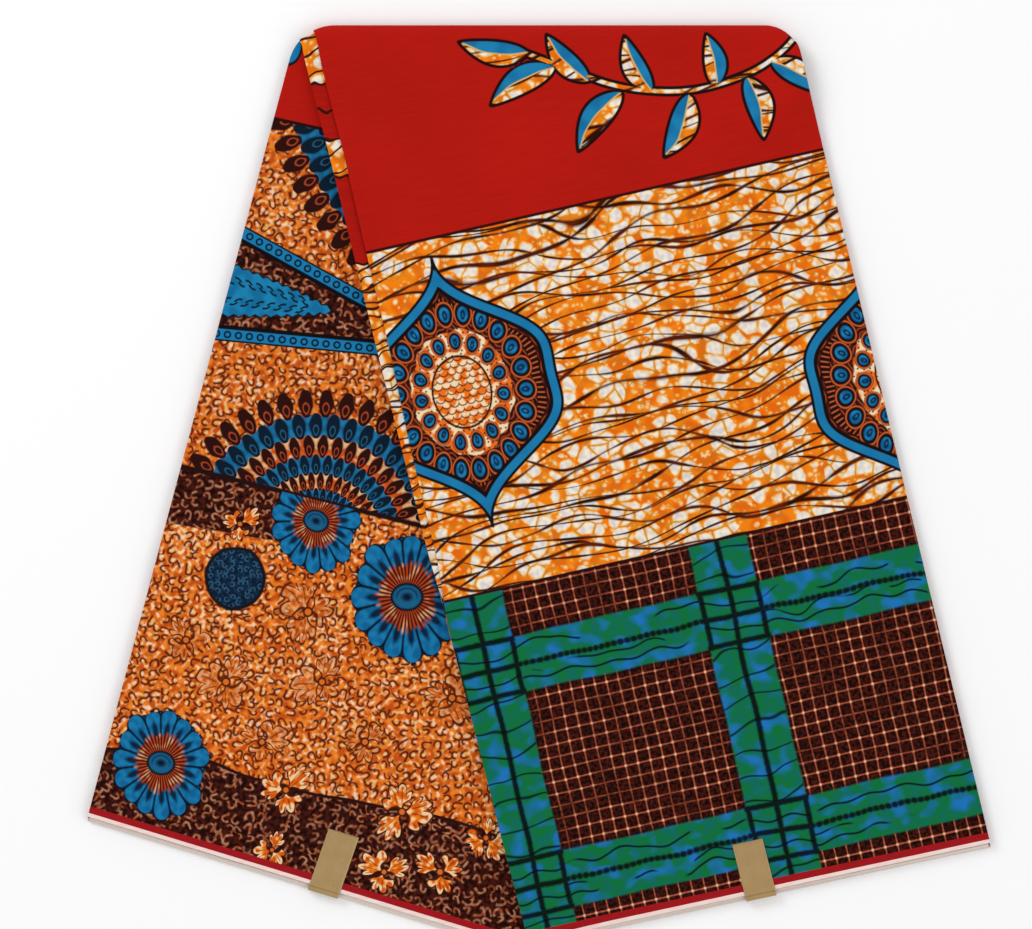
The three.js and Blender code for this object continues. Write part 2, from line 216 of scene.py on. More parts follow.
# ---- creases: soft troughs and ridges, each from one point to another (dots), with a height (mm) and a width (dots) -----
CREASES = [
    # front leg
    ((330, 96), (792, 62), 0.35, 16), ((372, 190), (640, 118), -0.28, 20), ((640, 118), (830, 120), -0.22, 24),
    ((415, 372), (560, 318), 0.22, 14), ((520, 470), (760, 392), -0.30, 22), ((700, 300), (870, 236), 0.26, 18),
    ((500, 700), (700, 640), 0.25, 20), ((640, 820), (880, 700), -0.30, 24), ((760, 560), (930, 560), 0.24, 18),
    ((520, 845), (600, 900), 0.30, 15), ((930, 700), (975, 830), -0.30, 16), ((470, 590), (520, 840), -0.24, 12),
    # back leg
    ((262, 180), (330, 235), 0.25, 12), ((215, 372), (372, 420), -0.25, 18), ((160, 560), (350, 640), 0.28, 22),
    ((130, 690), (330, 745), -0.30, 22), ((300, 640), (440, 760), 0.24, 18), ((110, 800), (260, 850), 0.26, 14),
    ((360, 840), (500, 905), -0.24, 16), ((400, 560), (470, 720), -0.25, 14),
]


def crease_height(px, py):
    z = np.zeros_like(px)
    for (x0, y0), (x1, y1), h, w in CREASES:
        d = np.array([x1 - x0, y1 - y0], float)
        length = np.hypot(*d)
        d /= length
        along = (px - x0) * d[0] + (py - y0) * d[1]
        aside = -(px - x0) * d[1] + (py - y0) * d[0] + 5 * np.sin(along / 38 + x0)
        ends = smooth01((along + 14) / 45) * smooth01((length + 14 - along) / 45)
        side = np.where(aside < 0, aside / (w * 0.6), aside / (w * 1.4))
        z += h * ends * np.exp(-side * side) * (0.8 + 0.2 * np.sin(along / 17 + y0))
    # the slight puffiness of cloth that isn't pressed hard
    z += 0.07 * np.sin(px / 41 + 1.3 * np.sin(py / 67)) * np.sin(py / 53 + 1.1 * np.sin(px / 59))
    z += 0.035 * np.sin(px / 13.7 + py / 31) * np.sin(py / 11.9 - px / 37)
    return z


def dots(p, z):
    """Dots of the print at plan points p (mm) of height z, as the camera sees them."""
    k = EYE[2] / (EYE[2] - z)
    x = 516.0 + (p[..., 0] - EYE[0]) / DOT * k
    y = 464.5 - (p[..., 1] - EYE[1]) / DOT * k
    return x, y


TILT_S, TILT_C = 0.2215, 0.9751            # the front leg's print is turned by this


def turned(x, y):
    return (x - 452) * TILT_C - (y - 600) * TILT_S, (x - 452) * TILT_S + (y - 600) * TILT_C


# ======================================================================================================================
# Meshes
# ======================================================================================================================
def make_piece(name, verts_mm, quads, uvs, mats, mat_index=None, nodes=()):
    me = bpy.data.meshes.new(name)
    v = (np.asarray(verts_mm, np.float64) * 0.001).astype(np.float32)
    q = np.asarray(quads, np.int32)
    me.vertices.add(len(v))
    me.vertices.foreach_set("co", v.ravel())
    me.loops.add(q.size)
    me.loops.foreach_set("vertex_index", q.ravel())
    me.polygons.add(len(q))
    me.polygons.foreach_set("loop_start", np.arange(0, q.size, 4, dtype=np.int32))
    me.polygons.foreach_set("loop_total", np.full(len(q), 4, np.int32))
    if mat_index is not None:
        me.polygons.foreach_set("material_index", np.asarray(mat_index, np.int32))
    me.polygons.foreach_set("use_smooth", np.ones(len(q), bool))
    me.update(calc_edges=True)
    for key, uv in uvs.items():
        layer = me.uv_layers.new(name=key, do_init=False)
        layer.data.foreach_set("uv", np.asarray(uv, np.float32).reshape(-1))
    me.validate(clean_customdata=False)
    for m in mats:
        me.materials.append(m)
    o = bpy.data.objects.new(name, me)
    bpy.context.scene.collection.objects.link(o)
    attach(o, "root")
    if nodes:
        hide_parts(*nodes)
    return o


def grid_quads(ni, nj, flip=False):
    i, j = np.meshgrid(np.arange(ni - 1), np.arange(nj - 1), indexing="ij")
    a = (i * nj + j).ravel()
    q = np.stack([a, a + 1, a + nj + 1, a + nj], -1)
    return q[:, ::-1] if flip else q


def corner_values(values, quads):
    """Per-corner values (faces, 4, n) from per-vertex values (vertices, n)."""
    return values[quads]


def bake_islands(u, v, quads, split, pad=4.0):
    """A compact map for baking: the part with v below split, and beside it the rest, turned. u, v in mm, per vertex."""
    cu, cv = u[quads], v[quads]
    second = cv.mean(1) > split
    w = u.max() - u.min()
    u0, v0 = u.min(), v.min()
    x = np.where(second[:, None], w + pad + (cv - split), cu - u0)
    y = np.where(second[:, None], cu - u0, cv - v0)
    size = max(x.max(), y.max()) + pad
    return np.stack([(x + pad / 2) / size, (y + pad / 2) / size], -1)


def row_shares(values, stops, counts):
    """Rows down each column so that whole rows fall on given values. values: (columns, samples) rising with the share."""
    samples = np.linspace(0, 1, values.shape[1])
    out = []
    for c in range(values.shape[0]):
        at = [0.0] + [float(np.interp(k[c] if hasattr(k, "__len__") else k, values[c], samples)) for k in stops] + [1.0]
        row = []
        for m, n in enumerate(counts):
            row.append(np.linspace(at[m], at[m + 1], n, endpoint=False))
        out.append(np.concatenate(row + [np.array([1.0])]))
    return np.array(out)


# ======================================================================================================================
# Shader maths: numbers in a node tree, written as ordinary expressions
# ======================================================================================================================
class Num:
    def __init__(self, g, s):
        self.g, self.s = g, s

    def _op(self, op, *others, clamp=False):
        return self.g.math(op, self, *others, clamp=clamp)

    def __add__(self, o): return self._op("ADD", o)
    __radd__ = __add__
    def __sub__(self, o): return self._op("SUBTRACT", o)
    def __rsub__(self, o): return self.g.math("SUBTRACT", o, self)
    def __mul__(self, o): return self._op("MULTIPLY", o)
    __rmul__ = __mul__
    def __truediv__(self, o): return self._op("MULTIPLY", 1.0 / o) if isinstance(o, (int, float)) else self._op("DIVIDE", o)
    def __rtruediv__(self, o): return self.g.math("DIVIDE", o, self)
    def __neg__(self): return self._op("MULTIPLY", -1.0)


class Graph:
    def __init__(self, name):
        self.m = bpy.data.materials.new(name)
        self.m.use_nodes = True
        self.nt = self.m.node_tree
        self.nt.nodes.clear()

    def new(self, kind, **props):
        n = self.nt.nodes.new(kind)
        for k, v in props.items():
            setattr(n, k, v)
        return n

    def put(self, socket, value):
        if isinstance(value, Num):
            self.nt.links.new(value.s, socket)
        elif isinstance(value, bpy.types.NodeSocket):
            self.nt.links.new(value, socket)
        elif isinstance(value, (tuple, list)):
            socket.default_value = tuple(value) + ((1.0,) if len(value) == 3 and len(socket.default_value) == 4 else ())
        else:
            socket.default_value = float(value)

    def math(self, op, *args, clamp=False):
        n = self.new("ShaderNodeMath", operation=op, use_clamp=clamp)
        for k, a in enumerate(args):
            self.put(n.inputs[k], a)
        return Num(self, n.outputs[0])

    def uv(self, name, k=1000.0):
        n = self.new("ShaderNodeUVMap", uv_map=name)
        s = self.new("ShaderNodeSeparateXYZ")
        self.nt.links.new(n.outputs[0], s.inputs[0])
        x, y = Num(self, s.outputs[0]), Num(self, s.outputs[1])
        return (x, y) if k == 1 else (x * k, y * k)

    def vec(self, x, y, z=0.0):
        n = self.new("ShaderNodeCombineXYZ")
        for k, a in enumerate((x, y, z)):
            self.put(n.inputs[k], a)
        return n.outputs[0]

    def noise(self, x, y, size, size_y=None, detail=0.0, seed=0.0):
        """Noise around 0.5, with features about size dots wide."""
        n = self.new("ShaderNodeTexNoise", noise_dimensions="2D")
        self.put(n.inputs["Vector"], self.vec(x / size + seed * 3.17, y / (size_y or size) + seed * 7.31))
        n.inputs["Scale"].default_value = 1.0
        n.inputs["Detail"].default_value = detail
        n.inputs["Roughness"].default_value = 0.5
        return Num(self, n.outputs[0])

    def cells(self, x, y, size, random=1.0, seed=0.0, edge=False):
        """Voronoi cells of about size dots: distance (in cells), offset from the cell's point (dots) and 3 random numbers."""
        n = self.new("ShaderNodeTexVoronoi", voronoi_dimensions="2D", feature="DISTANCE_TO_EDGE" if edge else "F1")
        cx, cy = x / size + seed * 5.13, y / size + seed * 2.71
        self.put(n.inputs["Vector"], self.vec(cx, cy))
        n.inputs["Scale"].default_value = 1.0
        n.inputs["Randomness"].default_value = random
        if edge:
            return Num(self, n.outputs["Distance"])
        p = self.new("ShaderNodeSeparateXYZ")
        self.nt.links.new(n.outputs["Position"], p.inputs[0])
        c = self.new("ShaderNodeSeparateColor")
        self.nt.links.new(n.outputs["Color"], c.inputs[0])
        lx, ly = (cx - Num(self, p.outputs[0])) * size, (cy - Num(self, p.outputs[1])) * size
        return Num(self, n.outputs["Distance"]), lx, ly, [Num(self, c.outputs[k]) for k in range(3)]

    def mix(self, f, a, b):
        n = self.new("ShaderNodeMix", data_type="RGBA", clamp_factor=False)
        self.put(n.inputs[0], f)
        self.put(n.inputs[6], a)
        self.put(n.inputs[7], b)
        return n.outputs[2]

    def scale_colour(self, colour, k):
        n = self.new("ShaderNodeVectorMath", operation="SCALE")
        self.put(n.inputs[0], colour if not isinstance(colour, tuple) else tuple(colour[:3]))
        self.put(n.inputs["Scale"], k)
        return n.outputs[0]

    def finish(self, colour, rough=0.86, height=None, strength=0.25, sheen=0.015, thread=(None, None)):
        """The surface: cloth colour, a faint sheen, and a bump of threads plus any height of its own."""
        b = self.new("ShaderNodeBsdfPrincipled")
        self.put(b.inputs["Base Color"], colour)
        b.inputs["Roughness"].default_value = rough
        b.inputs["Specular IOR Level"].default_value = 0.05
        b.inputs["Sheen Weight"].default_value = sheen
        b.inputs["Sheen Roughness"].default_value = 0.5
        out = self.new("ShaderNodeOutputMaterial")
        self.nt.links.new(b.outputs[0], out.inputs[0])
        if thread[0] is not None:
            x, y = thread
            weave = sin_(x * (6.2832 / 0.75)) * sin_(y * (6.2832 / 0.75))
            h = weave * 0.5 + self.noise(x, y, 2.2) * 0.8
            if height is not None:
                h = h + height
            bump = self.new("ShaderNodeBump")
            bump.inputs["Strength"].default_value = strength
            bump.inputs["Distance"].default_value = 0.00012
            self.put(bump.inputs["Height"], h)
            self.nt.links.new(bump.outputs[0], b.inputs["Normal"])
        return self.m


def sin_(v): return v._op("SINE")
def cos_(v): return v._op("COSINE")
def abs_(v): return v._op("ABSOLUTE")
def sqrt_(v): return v._op("SQRT")
def frac_(v): return v._op("FRACT")
def floor_(v): return v._op("FLOOR")
def sign_(v): return v._op("SIGN")
def pow_(v, k): return v._op("POWER", k)
def min_(a, b): return a._op("MINIMUM", b)
def max_(a, b): return a._op("MAXIMUM", b)
def mod_(a, k): return a._op("FLOORED_MODULO", k)
def less(a, b): return a._op("LESS_THAN", b)
def more(a, b): return a._op("GREATER_THAN", b)
def hyp(a, b): return sqrt_(a * a + b * b)
def inside(d, soft=0.45): return d.g.math("MULTIPLY_ADD", d, -0.5 / soft, 0.5, clamp=True)   # 1 where d < 0
def step_up(v, lo, hi): return v.g.math("MULTIPLY_ADD", v, 1.0 / (hi - lo), -lo / (hi - lo), clamp=True)
def line(d, half, soft=0.45): return inside(abs_(d) - half, soft)
def both(a, b): return a * b
def either(a, b): return max_(a, b)
def unless(a, b): return a * (1.0 - b)


LIGHT = 1.04        # what a white, level surface receives: colours are divided by it, so that they show as measured


def rgb(r, g, b):
    def lin(c):
        c /= 255
        return (c / 12.92 if c <= 0.04045 else ((c + 0.055) / 1.055) ** 2.4) / LIGHT
    return (lin(r), lin(g), lin(b), 1.0)


RED = rgb(174, 22, 12)
ORANGE = rgb(238, 122, 16)
DEEP_ORANGE = rgb(214, 88, 14)
YELLOW = rgb(247, 190, 78)
CREAM = rgb(238, 229, 212)
BROWN = rgb(44, 14, 9)
STROKE = rgb(98, 30, 10)
BLUE = rgb(22, 118, 168)
PLAID_BLUE = rgb(27, 116, 182)
GREEN = rgb(14, 122, 70)
NAVY = rgb(9, 22, 38)
TAN_STROKE = rgb(172, 110, 74)
OLIVE = rgb(150, 118, 44)


# ---- the prints' own building blocks ------------------------------------------------------------------------------------
def vermicelli(g, x, y, dark=None, cool=None, size=10.4, seed=0.0):
    """Small hooks and commas packed all over: dark ones on orange and cream, or light ones on brown where dark is 1."""
    wob = g.noise(x, y, 23, seed=seed + 1)
    dist, lx, ly, r = g.cells(x + wob * 7, y - wob * 6, size, 0.55, seed)
    angle = r[0] * 6.2832
    c, s = cos_(angle), sin_(angle)
    u, v = lx * c + ly * s, ly * c - lx * s
    radius = r[1] * 0.9 + 2.5
    v = v - 0.8
    ring = hyp(u, max_(v, 0.0))
    d = abs_(ring - radius)
    leg = r[2] * 3.4 + 1.8
    leg = leg * less(u, 0.0) + r[1] * 2.0
    d = max_(d - 1.0, -v - leg)
    stroke = inside(d, 0.66)
    halo = inside(d - 1.2, 1.2)
    core = inside(max_(ring - radius + 1.2, -v - 3.2), 0.9)
    patch = g.noise(x, y, 4.6, seed=seed + 2)
    broad = g.noise(x, y, 46, seed=seed + 3)
    pale = step_up(patch + core * 0.22 + (broad - 0.5) * 0.34, 0.55, 0.78) * 0.9
    tone = g.noise(x, y, 7, seed=seed + 4)
    base = g.mix(step_up(tone, 0.34, 0.66), rgb(192, 78, 18), rgb(234, 128, 34))
    base = g.mix(pale, base, g.mix(step_up(tone, 0.42, 0.60), rgb(242, 184, 98), rgb(242, 214, 182)))
    base = g.mix(halo * 0.42, base, rgb(184, 70, 16))
    col = g.mix(stroke, base, rgb(88, 26, 6))
    if dark is not None:
        tone = step_up(patch, 0.35, 0.68)
        shade = g.mix(tone, rgb(30, 6, 3), rgb(66, 20, 12))
        night = g.mix(stroke * (r[2] * 0.4 + 0.5), shade, g.mix(tone, rgb(170, 78, 38), rgb(190, 138, 108)))
        col = night if dark == 1 else g.mix(dark, col, night)
    if cool is not None:
        fd, fx, fy, fr = g.cells(x, y, 6.8, 0.6, seed + 9)
        cut = fx * cos_(fr[1] * 6.2832) + fy * sin_(fr[1] * 6.2832) - 1.2
        small = inside(max_(abs_(hyp(fx, fy) - 2.2) - 0.5, cut), 0.6) * step_up(fr[0], 0.0, 0.3)
        col = g.mix(cool, col, g.mix(small, g.mix(step_up(tone, 0.3, 0.7), rgb(8, 26, 46), rgb(14, 42, 66)), rgb(52, 92, 122)))
    return col, stroke


def crackle(g, a, b, lines=1.0, seed=0.0):
    """Pale rounded blobs on orange with fine veins, crossed by long wavy dark lines that run along a."""
    n1 = g.noise(a, b, 24, seed=seed + 1)
    n2 = g.noise(a, b, 24, seed=seed + 2)
    ax, by = a * 0.92 + (n1 - 0.5) * 9, b * 1.02 + (n2 - 0.5) * 9
    dist, lx, ly, r = g.cells(ax, by, 15.5, 0.95, seed + 1)
    e = g.cells(ax, by, 15.5, 0.95, seed + 1, edge=True)
    dist2, lx2, ly2, r2 = g.cells(ax, by, 8.0, 1.0, seed + 7)
    fine = g.noise(a, b, 5.2, seed=seed + 6)
    wide = g.noise(a, b, 26, 62, seed=seed + 5)
    rough = (fine - 0.5) * 0.07
    big = min_(e - 0.045, r[0] * 0.24 + 0.39 - dist) - step_up(wide, 0.51, 0.67) * 0.32
    small = min_((r2[0] * 0.26 + 0.01 - dist2) * 0.5, 0.045)
    k = max_(big, small) + rough
    base = g.mix(step_up(g.noise(a, b, 13, seed=seed + 8), 0.35, 0.65), rgb(240, 128, 14), rgb(226, 102, 10))
    col = g.mix(step_up(k, -0.09, 0.02), base, rgb(238, 182, 92))
    white = g.mix(step_up(fine, 0.3, 0.7), rgb(214, 206, 206), rgb(242, 230, 208))
    col = g.mix(step_up(k, 0.0, 0.10), col, white)
    vein = inside(e - 0.030, 0.035) * step_up(n2, 0.36, 0.50) * 0.8
    col = g.mix(vein, col, rgb(164, 126, 40))
    if lines:
        long1 = g.noise(a, b, 120, 74, seed=seed + 11)
        long2 = g.noise(a, b, 96, 62, seed=seed + 12)
        thick = g.noise(a, b, 50, 13, seed=seed + 13)
        sway = sin_(a / 44.0 + b / 72.0)
        p1 = (b + a * 0.15 + (long1 - 0.5) * 40 + sway * 4.0) / 21.0
        p2 = (b - a * 0.13 + (long2 - 0.5) * 38 - sway * 4.5) / 25.0
        p3 = (b + (long1 + long2 - 1.0) * 34 + sway * 2.0) / 41.0
        d1 = abs_(frac_(p1) - 0.5) * 21.0
        d2 = abs_(frac_(p2) - 0.5) * 25.0
        d3 = abs_(frac_(p3) - 0.5) * 41.0
        half = step_up(thick, 0.28, 0.66) * 1.0 + 0.75
        half2 = step_up(thick, 0.70, 0.34) * 1.0 + 0.65
        d = min_(min_(d1 - half, d2 - half2), d3 - half)
        tint = g.mix(step_up(n1, 0.35, 0.65), rgb(92, 28, 6), rgb(48, 10, 2))
        col = g.mix(inside(d, 0.7) * lines, col, tint)
    return col


def fan_rings(g, x, y, col, cx, cy, radius, count, first_width, narrowing, rings, all_blue=False):
    """Rings of dark eyes round a centre, narrower towards it, on blue and on orange by turns. The first ring has no ground."""
    dx, dy = x - cx, (y - cy) * -1.0
    r = hyp(dx, dy)
    th = g.math("ARCTAN2", dx, dy)
    lr = (first_width - sqrt_(max_(first_width ** 2 - (radius - r) * (4 * narrowing), 1.0))) / (2 * narrowing)
    # the rings meet in scallops: each eye reaches a little past its ring
    near = floor_(lr + 0.5)
    swing = cos_((th * (count / 6.28319) + mod_(near, 2.0) * 0.5) * 6.28319)
    lr = lr - swing * (1.0 - abs_(lr - near) * 2.0) * 0.13
    ring = floor_(lr)
    f = lr - ring
    tt = th * (count / 6.28319) + mod_(ring, 2.0) * 0.5 + 100.0
    tu = (frac_(tt) - 0.5)
    odd = mod_(ring, 2.0)
    first = less(ring, 0.5)
    on = more(lr, 0.0) * less(lr, float(rings))
    mottle = g.noise(x, y, 6)
    warm = g.mix(step_up(mottle - (f - 0.5) * 0.35, 0.42, 0.64), rgb(212, 88, 24), rgb(240, 188, 132))
    blue = g.mix(step_up(mottle, 0.3, 0.7), rgb(22, 96, 142), rgb(28, 122, 168))
    if all_blue:
        odd = max_(odd, 1.0 - first)
    ground = g.mix(odd, warm, blue)
    wobble = (g.noise(x, y, 11) - 0.5) * 0.36
    egg = hyp(tu / 0.385, (f - 0.5) / 0.55) + wobble * 0.7
    eye = inside(egg - 1.0, 0.10)
    shadow = inside(egg - 1.28, 0.22) * (1.0 - first)
    inner = hyp(tu / 0.20, (f - 0.64) / 0.20) + abs_(tu) * 0.5
    curl = inside(abs_(inner - 0.86) - 0.13, 0.14)
    c = g.mix(1.0 - first, col, ground)
    c = g.mix(shadow * 0.45, c, g.mix(odd, rgb(120, 40, 14), rgb(12, 58, 92)))
    c = g.mix(eye, c, g.mix(odd, rgb(42, 12, 9), rgb(9, 26, 42)))
    c = g.mix(curl * eye * 0.9, c, g.mix(odd, rgb(178, 72, 40), rgb(40, 96, 128)))
    return g.mix(on, col, c), on


def chain(g, x, y, col, x0, y0, slope, thick_below):
    """A blue band with a row of dark rings, along a straight line."""
    c = 1 / math.hypot(1, slope)
    s = (x - x0) * c + (y - y0) * (slope * c)
    d = (y - y0) * c - (x - x0) * (slope * c)
    inner = hyp((frac_(s / 11.0) - 0.5) * 11.0, d)
    up, down = (1.8, 4.2) if thick_below else (4.2, 1.8)
    band = inside(abs_(d) - 5.2)
    edge = both(inside(d - (5.2 + down)), inside(-d - (5.2 + up)))
    col = g.mix(edge, col, rgb(16, 10, 14))
    col = g.mix(band, col, BLUE)
    col = g.mix(inside(abs_(inner - 2.9) - 0.95), col, rgb(12, 20, 34))
    return col, s, d


def daisy(g, u, v, col):
    """A flower with fifteen uneven blue petals and darker ones behind. u, v: from its middle, 1 at its rim."""
    many = 15.0
    r = hyp(u, v)
    th = g.math("ARCTAN2", v, u)
    tt = th * (many / 6.28319) + 45.0
    k = mod_(floor_(tt), many)
    f = frac_(tt) - 0.5
    vary = frac_(sin_(k * 12.9898) * 43.758)
    reach = vary * 0.14 + 0.86
    lat = abs_(f + (vary - 0.5) * 0.10) * r * (6.28319 / many)
    q = (r - 0.66) / (reach - 0.66)
    q4 = q * q
    q4 = q4 * q4 * max_(q, 0.0)
    wide = sqrt_(max_(1.0 - q4, 0.0)) * 0.158
    d = max_(lat - wide, r - reach)
    seam = (0.5 - abs_(f)) * r * (6.28319 / many)
    on = less(r, reach + 0.05)
    petal = inside(d, 0.014) * on
    # the petals behind show between the tips
    behind = seam + max_(r - 0.80, 0.0) * 0.9
    c = g.mix(inside(behind - 0.125, 0.014) * inside(r - 0.90, 0.014), col, rgb(6, 18, 34))
    c = g.mix(inside(behind - 0.085, 0.014) * inside(r - 0.865, 0.014), c, rgb(14, 76, 116))
    c = g.mix(inside(d - 0.045, 0.014) * on, c, rgb(6, 14, 26))
    blue = g.mix(step_up(g.noise(u, v, 0.13), 0.3, 0.7), rgb(14, 94, 142), rgb(24, 118, 168))
    c = g.mix(petal * inside(0.020 - seam, 0.014), c, blue)
    vein = inside(lat - 0.006, 0.01) * inside(r - 0.78, 0.02)
    c = g.mix(vein * petal * 0.6, c, rgb(8, 54, 92))
    # dark drops at the petals' feet
    spot = hyp(lat / 0.056, (r - 0.57) / 0.145)
    c = g.mix(inside(spot - 1.0, 0.35) * petal * 0.92, c, rgb(6, 18, 42))
    foot = inside(r - 0.50 + (lat - 0.02) * 0.6, 0.03)
    c = g.mix(foot, c, rgb(52, 14, 10))
    # radial dashes of uneven length, and the disc
    rays = th * (42 / 6.28319) + 42.0
    own = frac_(sin_(mod_(floor_(rays), 42.0) * 78.233) * 43.758)
    ray = abs_(frac_(rays) - 0.5)
    ray_in = inside(ray - 0.21, 0.18) * inside(r - (own * 0.10 + 0.45), 0.03)
    tint = g.noise(u, v, 0.16)
    c = g.mix(ray_in, c, g.mix(step_up(tint, 0.50, 0.72), rgb(182, 68, 28), rgb(230, 160, 112)))
    eye = hyp(u / 1.14, v / 0.82)
    c = g.mix(inside(eye - 0.255, 0.014), c, rgb(8, 12, 24))
    c = g.mix(inside(eye - 0.210, 0.02), c, rgb(24, 92, 132))
    c = g.mix(inside(abs_(eye - 0.155) - 0.016, 0.02) * inside(v - 0.02, 0.05), c, rgb(10, 44, 74))
    return g.mix(inside(hyp(u / 1.5, v) - 0.062, 0.03), c, rgb(6, 22, 46))


def leaf_flower(g, x, y, u, v, number, col, faint=False):
    """Three lobed leaves round a small ring. u, v: from its middle, about 1 at the leaf tips; number: its own number."""
    r = hyp(u, v)
    th = g.math("ARCTAN2", v, u)
    many = 3.0
    tt = (th + 0.22 * sin_(th * 2.0 + number * 2.1)) * (many / 6.28319) + 30.0
    k = floor_(tt)
    f = frac_(tt) - 0.5
    vary = frac_(sin_((mod_(k, many) + number * 7.0) * 12.9898) * 43.758)
    reach = vary * 0.42 + 0.60
    part = (f + (g.noise(x, y, 14) - 0.5) * 0.10) / (0.46 if faint else 0.41)    # -1 to 1 across a leaf
    lobe = abs_(frac_((part + 1.0) * 2.0) - 0.5) * 2.0      # 0 in the middle of a lobe
    lobe = lobe * lobe
    middle = inside(abs_(part) - 0.5, 0.06)
    tip = reach * (1.0 - lobe * 0.34) * (middle * 0.20 + 0.80)
    neck = step_up(r, 0.05, 0.45)
    side = (abs_(part) - neck * (1.0 - lobe * 0.10 * middle)) * 0.41 * r * (6.28319 / many)
    d = max_(side, (r - tip) * 0.8) * 30.0                  # about dots
    c = g.mix(inside(d - 1.3, 0.6) * (more(d, -0.6) if faint else 1.0), col, rgb(88, 28, 8) if faint else rgb(64, 20, 6))
    tone = g.noise(x, y, 6)
    fill = g.mix(step_up(tone, 0.35, 0.65), rgb(214, 90, 14), rgb(242, 142, 34))
    pale = step_up(tone + step_up(r, 0.35, 0.85) * 0.16 + step_up(d, -4.0, -0.8) * 0.16, 0.60, 0.78)
    if faint:
        fill = g.mix(step_up(tone, 0.35, 0.65), rgb(204, 92, 24), rgb(232, 128, 38))
    fill = g.mix(pale * (0.35 if faint else 0.7), fill, rgb(242, 218, 176))
    c = g.mix(inside(d + 0.4) * (0.62 if faint else 1.0), c, fill)
    off = abs_(frac_((part + 1.0) * 2.0) - 0.5) / 2.0 * 0.41 * r * (6.28319 / many) * 30.0
    vein = inside(off - 0.55, 0.5) * inside(d + 3.0) * more(r, 0.2)
    c = g.mix(vein * 0.85, c, rgb(116, 36, 8))
    c = g.mix(inside((r - 0.14) * 30.0), c, rgb(72, 24, 8))
    return g.mix(inside((r - 0.085) * 30.0), c, rgb(214, 104, 34))


# ---- front leg ------------------------------------------------------------------------------------------------------------
RED_B = -357.4                              # where the red ends, and the plaid begins at 0


def red_ground(g, a, b):
    fibre = g.noise(a, b, 34, 1.3, seed=3)
    broad = g.noise(a, b, 90, seed=4)
    k = fibre * 0.16 + broad * 0.12 + 0.86
    return g.scale_colour(RED, k)


def mat_red():
    g = Graph("front_red")
    a, b = g.uv("Print")
    d, side = g.uv("Motif")                 # distance to a leaf's outline (minus inside it), and from its middle line
    col = red_ground(g, a, b)
    inner = crackle(g, a, b, 1.0, 2.0)
    rim = side + 1.0 + (g.noise(a, b, 26, seed=6) - 0.5) * 4.0
    fill = g.mix(inside(rim - 1.4), inner, rgb(214, 172, 96))
    fill = g.mix(inside(rim), fill, g.mix(step_up(g.noise(a, b, 15), 0.3, 0.7), rgb(20, 106, 156), rgb(28, 124, 172)))
    col = g.mix(inside(d - 1.6), col, rgb(30, 10, 10))
    col = g.mix(inside(d + 1.6), col, fill)
    col = g.mix(inside(RED_B - 1.5 - b), col, rgb(52, 8, 8))
    return g.finish(col, thread=(a, b))


def mat_crackle():
    g = Graph("front_crackle")
    a, b = g.uv("Print")
    col = crackle(g, a, b, 1.0, 0.0)
    col = g.mix(inside(b - RED_B - 1.5), col, rgb(52, 8, 8))
    col = g.mix(inside(-b - 1.4), col, rgb(40, 10, 10))
    return g.finish(col, thread=(a, b))


